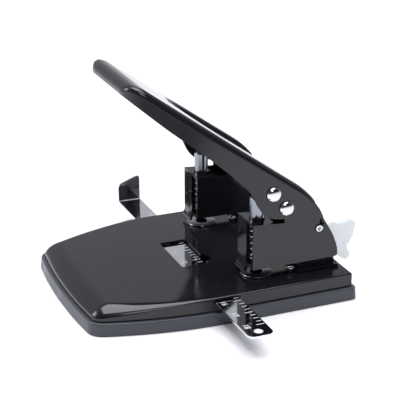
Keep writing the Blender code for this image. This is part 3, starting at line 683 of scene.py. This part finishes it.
def etched_fill():
    """Paint wiped into etched marks: flat and pale."""
    base = finish("marks")
    material, tree, shader = surface("etched_fill", base, Roughness=0.6)
    worn = grain(tree, 0.9, 3.0)
    mottle(tree, shader, worn, shade(base, 0.8), base)
    return material


def material_once(maker, *words):
    """The material that a maker gives, made once and used again."""
    key = "_".join((maker.__name__,) + words)
    if key not in MADE:
        MADE[key] = maker(*words)
    return MADE[key]


MADE = {}


# ---- operators ------------------------------------------------------------------------------
class PUNCH_OT_tray(Operator):
    """Moulded chip tray with a rounded rim"""
    bl_idname = "punch.tray"
    bl_label = "Chip tray"
    bl_options = {"REGISTER", "UNDO"}

    def execute(self, context):
        wall = context.scene.punch_sizes.tray_wall / MM
        top = TRAY_HIGH.z
        heights = [(0.5, 0.0), (0.12, 0.14), (0.0, 0.6), (0.42, top - 0.7), (0.55, top - 0.25),
                   (0.85, top - 0.03),
                   (1.2, top), (wall - 0.7, top), (wall - 0.2, top - 0.15), (wall, top - 0.6), (wall, 2.3),
                   (wall + 0.8, 1.5)]
        rings = [[(x, y, z) for x, y in base_outline(inset)] for inset, z in heights]
        tray = loops("tray_shell", rings)
        settle(tray, "tray", moulded_plastic, ["chip_tray"], 40)
        return {"FINISHED"}


class PUNCH_OT_cover(Operator):
    """Pressed cover with its wide front bevel, rule window, slots and holes"""
    bl_idname = "punch.cover"
    bl_label = "Base cover"
    bl_options = {"REGISTER", "UNDO"}

    def execute(self, context):
        inset = context.scene.punch_sizes.cover_inset / MM
        outside = self.skin(inset, COVER_HIGH.z)
        inside = self.skin(inset + SHEET, COVER_HIGH.z - SHEET)
        cover = loops("cover_pressing", list(reversed(inside)) + outside)
        self.pierce(cover)
        round_edges(cover, 0.18 * MM, 2, 50)
        settle(cover, "base", stoved_enamel, ["base_cover"], 30)
        return {"FINISHED"}

    def skin(self, inset, top):
        """Rings from the lower edge of the skirt, over the bevel, to the flat top."""
        low = COVER_LOW.z
        skirt = base_outline(inset)
        rings = [[(x, y, low) for x, y in skirt]]
        for i in range(11):
            t = i / 10
            inward = 3 * t * t * (1 - t) * 0.55 + t ** 3
            up = 3 * t * (1 - t) ** 2 * 0.35 + 3 * t * t * (1 - t) + t ** 3
            ring = []
            for (x, y), (_, edge) in zip(base_outline(inset, inward), skirt):
                wide = bevel_width(edge) - BEVEL_LEAST
                fall = (BEVEL_LEAST + 0.62 * wide) * (top - low) / (COVER_HIGH.z - low)
                ring.append((x, y, max(low + 0.2 + 0.3 * up, top - fall * (1 - up))))
            rings.append(ring)
        rings.append([(x * 0.97, y * 0.97, z) for x, y, z in rings[-1]])
        return rings

    def pierce(self, cover):
        """Cut the window with its round notch, the rule's slots and the holes under the heads."""
        rule = (RULE_LOW.y + RULE_HIGH.y) / 2
        half = (RULE_HIGH.y - RULE_LOW.y) / 2 + 0.5
        under, over = COVER_HIGH.z - 5, COVER_HIGH.z + 5
        strip = RULE_LOW.z - 0.5
        window = block("window", (-17.0, rule - half - 0.4, under), (15.0, rule + half, over))
        edit(window)
        pick(window, "edges", lambda e: abs(e.verts[0].co.z - e.verts[1].co.z) > MM)
        bpy.ops.mesh.bevel(offset=0.8 * MM, segments=4)
        slot = block("slot", (-70, rule - half, strip), (70, rule + half, COVER_HIGH.z - SHEET + 0.02))
        cut(cover, window, slot, rod("notch", (8.0, rule + half), 4.0, under, over, vertices=48))
        for side in SIDES:
            die = middle(side + "_die")
            cut(cover, rod("die_hole", (die.x, die.y), 4.9, under, over, vertices=48))


class PUNCH_OT_brackets(Operator):
    """Folded head brackets and foot brackets with rounded bends"""
    bl_idname = "punch.brackets"
    bl_label = "Brackets"
    bl_options = {"REGISTER", "UNDO"}

    def execute(self, context):
        edge = context.scene.punch_sizes.edge
        for kind in ("head_bracket", "foot_bracket"):
            for side in SIDES:
                node = side + "_" + kind
                piece = softened(node, node + "_folded", edge, 3)
                settle(piece, "base", stoved_enamel, [node], 30)
        return {"FINISHED"}


class PUNCH_OT_dies(Operator):
    """Dies with a broken edge, paper stops with a domed head"""
    bl_idname = "punch.dies"
    bl_label = "Dies and stops"
    bl_options = {"REGISTER", "UNDO"}

    def execute(self, context):
        for side in SIDES:
            low, high = span(side + "_die")
            x, seat = middle(side + "_die").x, COVER_HIGH.z + 0.3
            rim = (high.x - low.x) / 2
            profile = [(3.1, low.z), (4.3, low.z), (4.6, low.z + 0.3), (4.6, seat), (rim - 0.1, seat),
                       (rim, seat + 0.1), (rim, high.z - 0.35), (rim - 0.12, high.z - 0.12),
                       (rim - 0.4, high.z), (3.3, high.z), (3.1, high.z - 0.15)]
            die = turned(side + "_die_turned", (x, 0, 0), profile, hollow=True)
            settle(die, "base", ground_steel, [side + "_die"], 25, words=(side,))
            low, high = span(side + "_paper_stop")
            at = middle(side + "_paper_stop")
            radius = (high.x - low.x) / 2
            head = dome(radius, high.z - 1.2, 1.2, (0, 15, 30, 45, 60, 75, 87))
            stop = turned(side + "_stop_domed", (at.x, at.y, 0), [(radius, low.z)] + head)
            settle(stop, "base", chrome_plate, [side + "_paper_stop"], 40)
        return {"FINISHED"}


class PUNCH_OT_pins(Operator):
    """Stepped punch pins, their collars and springs"""
    bl_idname = "punch.pins"
    bl_label = "Punch pins"
    bl_options = {"REGISTER", "UNDO"}

    def execute(self, context):
        for side in SIDES:
            low, high = span(side + "_punch_pin")
            at = middle(side + "_punch_pin")
            shoulder = span(side + "_spring_collar")[1].z + 0.3
            shank, top = (high.x - low.x) / 2, high.z
            profile = [(PIN_RADIUS, low.z), (PIN_RADIUS, shoulder), (shank - 0.25, shoulder),
                       (shank, shoulder + 0.25), (shank, top - 0.6), (shank - 0.1, top - 0.3),
                       (shank - 0.3, top - 0.1), (shank - 0.7, top)]
            pin = turned(side + "_pin_ground", (at.x, at.y, 0), profile)
            nothing_selected()
            bpy.ops.mesh.primitive_cone_add(vertices=4, radius1=6 * MM, radius2=0, depth=4.2 * MM,
                                            location=(at.x * MM, 0, (low.z - 0.7) * MM),
                                            rotation=(0, 0, math.pi / 4))
            groove = named("groove")
            edit(groove)
            pick(groove, "verts", lambda v: v.co.z > MM)
            bpy.ops.mesh.bevel(offset=0.0001 * MM, affect="VERTICES")
            bpy.ops.object.mode_set(mode="OBJECT")
            groove.scale.x = 3
            cut(pin, groove)
            settle(pin, side + "_punch", ground_pin, [side + "_punch_pin"], 30)
            low, high = span(side + "_spring_collar")
            ring = (high.x - low.x) / 2
            collar = turned(side + "_collar_turned", (at.x, at.y, 0),
                            [(3.1, low.z)] + drum(ring, low.z, high.z, 0.2) + [(3.1, high.z)], hollow=True)
            settle(collar, side + "_punch", zinc_plate, [side + "_spring_collar"], 30)
            self.spring(side)
        return {"FINISHED"}

    def spring(self, side):
        """Wound spring, copied from the model with a mesh of its own; the real spring shortens from its seat
        as the pin goes down.
        """
        node = side + "_return_spring"
        spring = copied(node, node + "_wound")
        settle(spring, "base", spring_wire, [node], 60, flat=False)
        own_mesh(spring)


class PUNCH_OT_handle(Operator):
    """Pressed wishbone handle: a grid laid over half of it, turned down at its edges and mirrored"""
    bl_idname = "punch.handle"
    bl_label = "Handle"
    bl_options = {"REGISTER", "UNDO"}

    def execute(self, context):
        sizes = context.scene.punch_sizes
        fan, leg, across, bend_steps = 28, 36, 6, 8
        rows = handle_rows(fan, leg)
        nothing_selected()
        bpy.ops.mesh.primitive_grid_add(x_subdivisions=across + bend_steps, y_subdivisions=len(rows) - 1,
                                        size=2)
        handle = named("handle_pressing")
        self.lay(handle, rows, across, bend_steps, sizes.handle_bend / MM)
        edit(handle)
        self.turn_down_walls(handle)
        self.turn_down_rim(handle, sizes.leg_rim)
        self.open_rear(handle)
        bpy.ops.mesh.select_all(action="SELECT")
        bpy.ops.mesh.remove_doubles(threshold=0.00002)
        bpy.ops.mesh.normals_make_consistent(inside=False)
        modify(handle, "MIRROR", use_clip=True, merge_threshold=0.00005)
        self.lean(handle)
        self.point_outwards(handle)
        modify(handle, "SOLIDIFY", thickness=SHEET * MM, offset=-1, use_even_offset=False,
               use_quality_normals=True)
        round_edges(handle, 0.25 * MM, 2, 60)
        settle(handle, "handle", stoved_enamel, ["handle_shell"], 45,
               flat=False)
        return {"FINISHED"}

    def lay(self, handle, rows, across, bend_steps, bend):
        """Put the grid's points on the pressed surface."""
        columns = across + bend_steps + 1
        for index, vert in enumerate(handle.data.vertices):
            row, column = divmod(index, columns)
            inner, outer = rows[row]
            reach = (outer - inner).length
            aim = max(0.0, min(1.0, (row - 4) / 10))
            zone = min(NOSE * (1 - aim) + (bend + 0.5) * aim, 0.6 * reach)
            if column >= across:
                turn = math.pi / 2 * (column - across) / bend_steps
                inwards = zone * (1 - math.sin(turn))
            elif column < 2:
                inwards = reach - column * FIRST_COLUMN
            else:
                inwards = zone + (reach - FIRST_COLUMN - zone) * (1 - (column - 1) / (across - 1))
            point = outer + (inner - outer).normalized() * inwards
            vert.co = Vector((point.x, point.y, handle_height(point.x, point.y))) * MM

    def turn_down_walls(self, handle):
        """Extrude the outer edge down to the wall's lower edge, with a short step first."""
        for share in (0.06, 1.0):
            pick(handle, "edges", lambda e: e.is_boundary and self.is_outer(e))
            bpy.ops.mesh.extrude_edges_move()
            mesh = bmesh.from_edit_mesh(handle.data)
            for vert in mesh.verts:
                if vert.select:
                    low = wall_low(vert.co.y / MM) * MM
                    vert.co.z += min(-0.0001, (low - vert.co.z) * share)
            bmesh.update_edit_mesh(handle.data)

    def lean(self, handle):
        """Draw the pressed shape in towards the top, more and more towards the tip."""
        bpy.ops.object.mode_set(mode="OBJECT")
        for vert in handle.data.vertices:
            x, y, z = vert.co / MM
            share = min(1.0, max(0.0, (4.0 - y) / 50.0))
            draft = 0.2 * share * share * (3 - 2 * share)
            vert.co.x -= draft * max(0.0, z - wall_low(y)) * x / HANDLE_HALF * MM

    def is_outer(self, edge):
        """Whether a boundary edge lies on the outline rather than on the middle, the opening or the rear."""
        return all(from_side(v.co.x / MM, v.co.y / MM) < 0.01 for v in edge.verts)

    def turn_down_rim(self, handle, depth):
        """Extrude the edge of the opening down and round the bend."""
        def on_opening(edge):
            return edge.is_boundary and all(self.by_opening(v) for v in edge.verts)

        def on_fold(edge):
            """Between the top and the rim, and not one of the rim's upright edges."""
            tilts = [face.normal.z for face in edge.link_faces]
            if len(tilts) != 2 or not all(self.by_opening(v) for v in edge.verts):
                return False
            folded = min(tilts) < 0.2 < max(abs(tilt) for tilt in tilts)
            return folded and (edge.verts[0].co - edge.verts[1].co).xy.length > 0.00001

        pick(handle, "edges", on_opening)
        bpy.ops.mesh.extrude_edges_move(TRANSFORM_OT_translate={"value": (0, 0, -depth)})
        pick(handle, "edges", on_fold)
        bpy.ops.mesh.bevel(offset=RIM_BEND * MM, offset_type="OFFSET", segments=6, clamp_overlap=False)

    def by_opening(self, vert):
        x, y = vert.co.x / MM, vert.co.y / MM
        if y > -CROTCH + CROTCH_LENGTH:
            return abs(x - LEG_INNER) < 0.02
        return abs((x / LEG_INNER) ** 2 + ((y + CROTCH - CROTCH_LENGTH) / CROTCH_LENGTH) ** 2 - 1) < 0.003

    def open_rear(self, handle):
        """Take away the top sheet at the rear, between the side walls."""
        def behind(face):
            place = centre_of(face)
            return place.y > 26.0 and place.x < HANDLE_HALF - 0.9
        pick(handle, "faces", behind)
        bpy.ops.mesh.delete(type="FACE")

    def point_outwards(self, handle):
        """Turn the open sheet so that its top faces up."""
        edit(handle)
        mesh = bmesh.from_edit_mesh(handle.data)
        mesh.faces.ensure_lookup_table()
        top = max(mesh.faces, key=lambda f: f.calc_area() * abs(f.normal.z))
        if top.normal.z < 0:
            bpy.ops.mesh.select_all(action="SELECT")
            bpy.ops.mesh.flip_normals()


class PUNCH_OT_levers(Operator):
    """Riveted levers and the rollers that press the pins"""
    bl_idname = "punch.levers"
    bl_label = "Levers and rollers"
    bl_options = {"REGISTER", "UNDO"}

    def execute(self, context):
        for side in SIDES:
            node = side + "_lever"
            piece = softened(node, node + "_stamped", context.scene.punch_sizes.edge * 0.8)
            settle(piece, "handle", stoved_enamel, [node], 30)
            node = side + "_press_roller"
            low, high = span(node)
            at, half = middle(node), (high.x - low.x) / 2
            body = half - 1.8
            radius = (high.z - low.z) / 2
            profile = [(0.9, -half), (1.2, -half + 0.3), (1.2, -body)] + drum(radius, -body, body)
            profile += [(1.2, body), (1.2, half - 0.3), (0.9, half)]
            roller = turned(node + "_turned", at, profile, "X")
            settle(roller, "handle", zinc_plate, [node], 30)
        return {"FINISHED"}


class PUNCH_OT_rivets(Operator):
    """Domed handle rivets and hollow-ended pivot rivets"""
    bl_idname = "punch.rivets"
    bl_label = "Rivets"
    bl_options = {"REGISTER", "UNDO"}

    def execute(self, context):
        for side in SIDES:
            for level in ("upper", "lower"):
                node = side + "_" + level + "_dome_rivet"
                low, high = span(node)
                at = middle(node)
                seat, crown = (high.x - 2.0, high.x) if side == "right" else (-low.x - 2.0, -low.x)
                inner = low.x if side == "right" else -high.x
                radius = (high.z - low.z) / 2
                profile = [(1.5, inner), (1.5, seat), (radius - 0.12, seat), (radius, seat + 0.12)]
                profile += dome(radius, seat + 0.12, crown - seat - 0.12, range(8, 88, 8)) + [(0.08, crown)]
                head = turned(node + "_polished", (0, at.y, at.z), profile, "X" if side == "right" else "-X")
                settle(head, "handle", chrome_plate, [node], 45)
            self.pivot(side)
        return {"FINISHED"}

    def pivot(self, side):
        """Rivet with a drilled and rolled end at both sides."""
        node = side + "_pivot_rivet"
        low, high = span(node)
        at, half = middle(node), (high.x - low.x) / 2
        radius = (high.z - low.z) / 2
        end = [(0.05, half - 1.2), (0.85, half - 1.2), (0.9, half - 0.25), (1.15, half - 0.02), (1.45, half),
               (radius - 0.12, half - 0.15), (radius, half - 0.45)]
        profile = [(r, -z) for r, z in end] + [(r, z) for r, z in reversed(end)]
        rivet = turned(node + "_rolled", at, profile, "X")
        settle(rivet, "base", chrome_plate, [node], 40)


class PUNCH_OT_rule(Operator):
    """Plated rule with its turned-up stop, hanging hole, marks and numbers, and its guides"""
    bl_idname = "punch.rule"
    bl_label = "Paper rule"
    bl_options = {"REGISTER", "UNDO"}

    def execute(self, context):
        rule = self.strip()
        settle(rule, "rule", nickel_plate, ["paper_rule"], 35)
        self.marks(context.scene.punch_sizes.tick / MM)
        for side in SIDES:
            node = side + "_rule_guide"
            guide = softened(node, node + "_folded", 0.25 * MM)
            settle(guide, "base", zinc_plate, [node], 30)
        return {"FINISHED"}

    def strip(self):
        """A bar with a rounded end; its other end is extruded up into the stop."""
        low, high = RULE_LOW, RULE_HIGH
        thick = RULE_THICK
        front, rear = low.y, high.y
        rule = block("rule_strip", (low.x + thick, front, low.z), (high.x, rear, low.z + thick))
        edit(rule)
        pick(rule, "edges", lambda e: centre_of(e).x > high.x - 0.01
             and abs(e.verts[0].co.z - e.verts[1].co.z) > 0.5 * MM)
        bpy.ops.mesh.bevel(offset=3.4 * MM, segments=10)
        pick(rule, "faces", lambda f: centre_of(f).x < low.x + thick + 0.01)
        bpy.ops.mesh.extrude_region_move(TRANSFORM_OT_translate={"value": (-thick * MM, 0, 0)})
        pick(rule, "faces", lambda f: centre_of(f).x < low.x + thick and f.normal.z > 0.9)
        raised = (0, 0, (high.z - low.z - thick) * MM)
        bpy.ops.mesh.extrude_region_move(TRANSFORM_OT_translate={"value": raised})
        mesh = bmesh.from_edit_mesh(rule.data)
        for vert in mesh.verts:
            if vert.co.z > high.z * MM - MM and vert.co.y < (front + 1) * MM:
                vert.co.z -= 4.6 * MM
        bmesh.update_edit_mesh(rule.data)
        pick(rule, "edges", lambda e: centre_of(e).z > high.z - 6
             and abs(e.verts[0].co.x - e.verts[1].co.x) > 0.5 * MM)
        bpy.ops.mesh.bevel(offset=2.4 * MM, segments=8)
        pick(rule, "edges", lambda e: abs(centre_of(e).x - low.x) < 0.01
             and abs(centre_of(e).z - low.z) < 0.01)
        bpy.ops.mesh.bevel(offset=0.9 * MM, segments=5)
        hole = rod("hole", (high.x - 4.6, (front + rear) / 2), 2.1, low.z - 2, low.z + 4, vertices=48)
        cut(rule, hole)
        return round_edges(rule, 0.12 * MM, 2, 40)

    def marks(self, tick):
        """Eighth-inch marks along the rear edge and a number at every fourth."""
        top = RULE_LOW.z + RULE_THICK
        first, rear = RULE_HIGH.x - 10.5, RULE_HIGH.y - 0.6
        pieces = []
        for i in range(46):
            x = first - i * tick
            if x < RULE_LOW.x + 12:
                break
            reach = 4.0 if i % 4 == 0 else 2.6
            pieces.append(block("mark", (x - 0.22, rear - reach, top + 0.005), (x + 0.22, rear, top + 0.03)))
            if i % 4 == 0 and i < 44:
                pieces.append(self.number(str(18 - i // 4), x, top + 0.005))
        nothing_selected()
        for piece in pieces:
            piece.select_set(True)
        bpy.context.view_layer.objects.active = pieces[0]
        bpy.ops.object.join()
        settle(named("rule_marks"), "rule", etched_fill, (), 20)

    def number(self, words, x, top):
        """A raised number that reads along the rule."""
        nothing_selected()
        bpy.ops.object.text_add(location=(x * MM, (RULE_LOW.y + 3.0) * MM, top * MM))
        text = bpy.context.object
        text.data.body = words
        text.data.size = 4.2 * MM
        text.data.align_x = "CENTER"
        text.data.align_y = "CENTER"
        text.data.extrude = 0.02 * MM
        text.data.offset = 0.06 * MM
        bpy.ops.object.convert(target="MESH")
        return named("number")


class PUNCH_OT_latch(Operator):
    """Stamped latch and the small pins and screws"""
    bl_idname = "punch.latch"
    bl_label = "Latch, pin and screws"
    bl_options = {"REGISTER", "UNDO"}

    def execute(self, context):
        latch = softened("lock_latch", "latch_stamped", 0.3 * MM, 3)
        settle(latch, "latch", pale_latch, ["lock_latch"], 30)
        low, high = span("latch_pin")
        half, radius = (high.x - low.x) / 2, (high.z - low.z) / 2
        pin = turned("latch_pin_turned", middle("latch_pin"), drum(radius, -half, half), "X")
        settle(pin, "base", zinc_plate, ["latch_pin"], 30)
        self.screws()
        return {"FINISHED"}

    def screws(self):
        """One slotted screw, copied to its four places."""
        first = None
        for side in SIDES:
            for place in ("front", "rear"):
                node = side + "_" + place + "_screw"
                low, high = span(node)
                at, radius = middle(node), (high.x - low.x) / 2
                if first is None:
                    profile = [(radius - 0.7, low.z), (radius - 0.25, low.z + 0.15), (radius, low.z + 0.5),
                               (radius, low.z + 1.6), (1.5, low.z + 1.6), (1.5, high.z - 0.2), (1.3, high.z)]
                    first = turned(node + "_slotted", (at.x, at.y, 0), profile)
                    cut(first, block("slot", (at.x - 4, at.y - 0.4, low.z - 1),
                                     (at.x + 4, at.y + 0.4, low.z + 0.7)))
                    origin, screw = at, first
                else:
                    shift = at - origin
                    screw = twin(first, node + "_slotted", (shift.x, shift.y, 0))
                settle(screw, "base", zinc_plate, [node], 30)


class PUNCH_OT_stage(Operator):
    """Pale sweep, soft lights and camera"""
    bl_idname = "punch.stage"
    bl_label = "Studio"
    bl_options = {"REGISTER", "UNDO"}

    def execute(self, context):
        studio = context.scene.punch_studio
        self.floor(context)
        self.surround(context, studio.sky)
        for name, place, size, power in (("top_softbox", (0.0, 0.0, 1.4), 1.3, studio.key),
                                         ("side_softbox", (1.1, -0.2, 1.0), 0.5, studio.key * 0.1),
                                         ("front_softbox", (-0.45, -0.9, 0.5), 0.5, studio.key * 0.12)):
            nothing_selected()
            bpy.ops.object.light_add(type="AREA", location=place)
            light = bpy.context.object
            light.name = name
            light.data.energy = power
            light.data.size = size
            light.data.color = linear("#fafbff")
            light.rotation_euler = (Vector((0, 0, 0.04)) - Vector(place)).to_track_quat("-Z", "Y").to_euler()
        nothing_selected()
        bpy.ops.object.camera_add()
        camera = bpy.context.object
        camera.name = "camera"
        camera.data.lens = studio.lens
        camera.data.sensor_width = 36
        camera.data.clip_start = 0.01
        camera.matrix_world = self.view(studio)
        context.scene.camera = camera
        return {"FINISHED"}

    def view(self, studio):
        """Place and turn of the camera from its two angles and its lean."""
        a, e, lean = studio.azimuth, studio.elevation, studio.roll
        back = Vector((math.cos(e) * math.cos(a), -math.cos(e) * math.sin(a), math.sin(e)))
        right = Vector((math.sin(a), math.cos(a), 0))
        up = back.cross(right)
        right, up = math.cos(lean) * right + math.sin(lean) * up, math.cos(lean) * up - math.sin(lean) * right
        turn = Matrix((right, up, back)).transposed().to_4x4()
        return Matrix.Translation(Vector(studio.camera)) @ turn

    def floor(self, context):
        nothing_selected()
        bpy.ops.mesh.primitive_plane_add(size=16, location=(0, 0, -0.0002))
        floor = named("paper_sweep")
        base = context.scene.punch_finish.floor
        material, tree, shader = surface("sweep_paper", base, Roughness=0.9)
        fibres = grain(tree, 6, 4.0)
        mottle(tree, shader, fibres, shade(base, 0.985), base)
        floor.data.materials.append(material)

    def surround(self, context, strength):
        """Pale studio wall behind the punch, dark room before it."""
        world = bpy.data.worlds.new("studio_room")
        context.scene.world = world
        world.use_nodes = True
        tree = world.node_tree
        place = add(tree, "TexCoord").outputs["Generated"]
        axes = add(tree, "SeparateXYZ", {"Vector": place}).outputs
        room = add(tree, "MapRange", {"Value": axes["X"], "From Min": -0.6, "From Max": 0.5,
                                      "To Min": strength, "To Max": 0.06 * strength},
                   interpolation_type="SMOOTHSTEP")
        pale = add(tree, "MapRange", {"Value": axes["Z"], "From Min": 0.02, "From Max": 0.16, "To Min": 0.9,
                                      "To Max": room.outputs[0]}, interpolation_type="SMOOTHSTEP")
        tree.nodes["Background"].inputs["Color"].default_value = (*linear("#f8f9ff"), 1)
        tree.links.new(pale.outputs[0], tree.nodes["Background"].inputs["Strength"])
        context.scene.view_settings.view_transform = "Standard"


class PUNCH_PT_panel(Panel):
    """Sizes, finishes and one button for each group of pieces"""
    bl_label = "Paper punch"
    bl_idname = "PUNCH_PT_panel"
    bl_space_type = "VIEW_3D"
    bl_region_type = "UI"
    bl_category = "Punch"

    def draw(self, context):
        for group in (context.scene.punch_sizes, context.scene.punch_finish, context.scene.punch_studio):
            box = self.layout.box()
            for key in group.__annotations__:
                box.prop(group, key)
        for operator in PIECES:
            self.layout.operator(operator.bl_idname)


PIECES = (PUNCH_OT_tray, PUNCH_OT_cover, PUNCH_OT_brackets, PUNCH_OT_dies, PUNCH_OT_pins, PUNCH_OT_handle,
          PUNCH_OT_levers, PUNCH_OT_rivets, PUNCH_OT_rule, PUNCH_OT_latch, PUNCH_OT_stage)
CLASSES = (PunchSizes, PunchFinish, PunchStudio) + PIECES + (PUNCH_PT_panel,)
GROUPS = {"punch_sizes": PunchSizes, "punch_finish": PunchFinish, "punch_studio": PunchStudio}


def register():
    for item in CLASSES:
        bpy.utils.register_class(item)
    for name, group in GROUPS.items():
        setattr(bpy.types.Scene, name, PointerProperty(type=group))


def unregister():
    for name in GROUPS:
        delattr(bpy.types.Scene, name)
    for item in reversed(CLASSES):
        bpy.utils.unregister_class(item)


def main():
    register()
    bpy.ops.punch.tray()
    bpy.ops.punch.cover()
    bpy.ops.punch.brackets()
    bpy.ops.punch.dies()
    bpy.ops.punch.pins()
    bpy.ops.punch.handle()
    bpy.ops.punch.levers()
    bpy.ops.punch.rivets()
    bpy.ops.punch.rule()
    bpy.ops.punch.latch()
    bpy.ops.punch.stage()


if __name__ == "__main__":
    main()
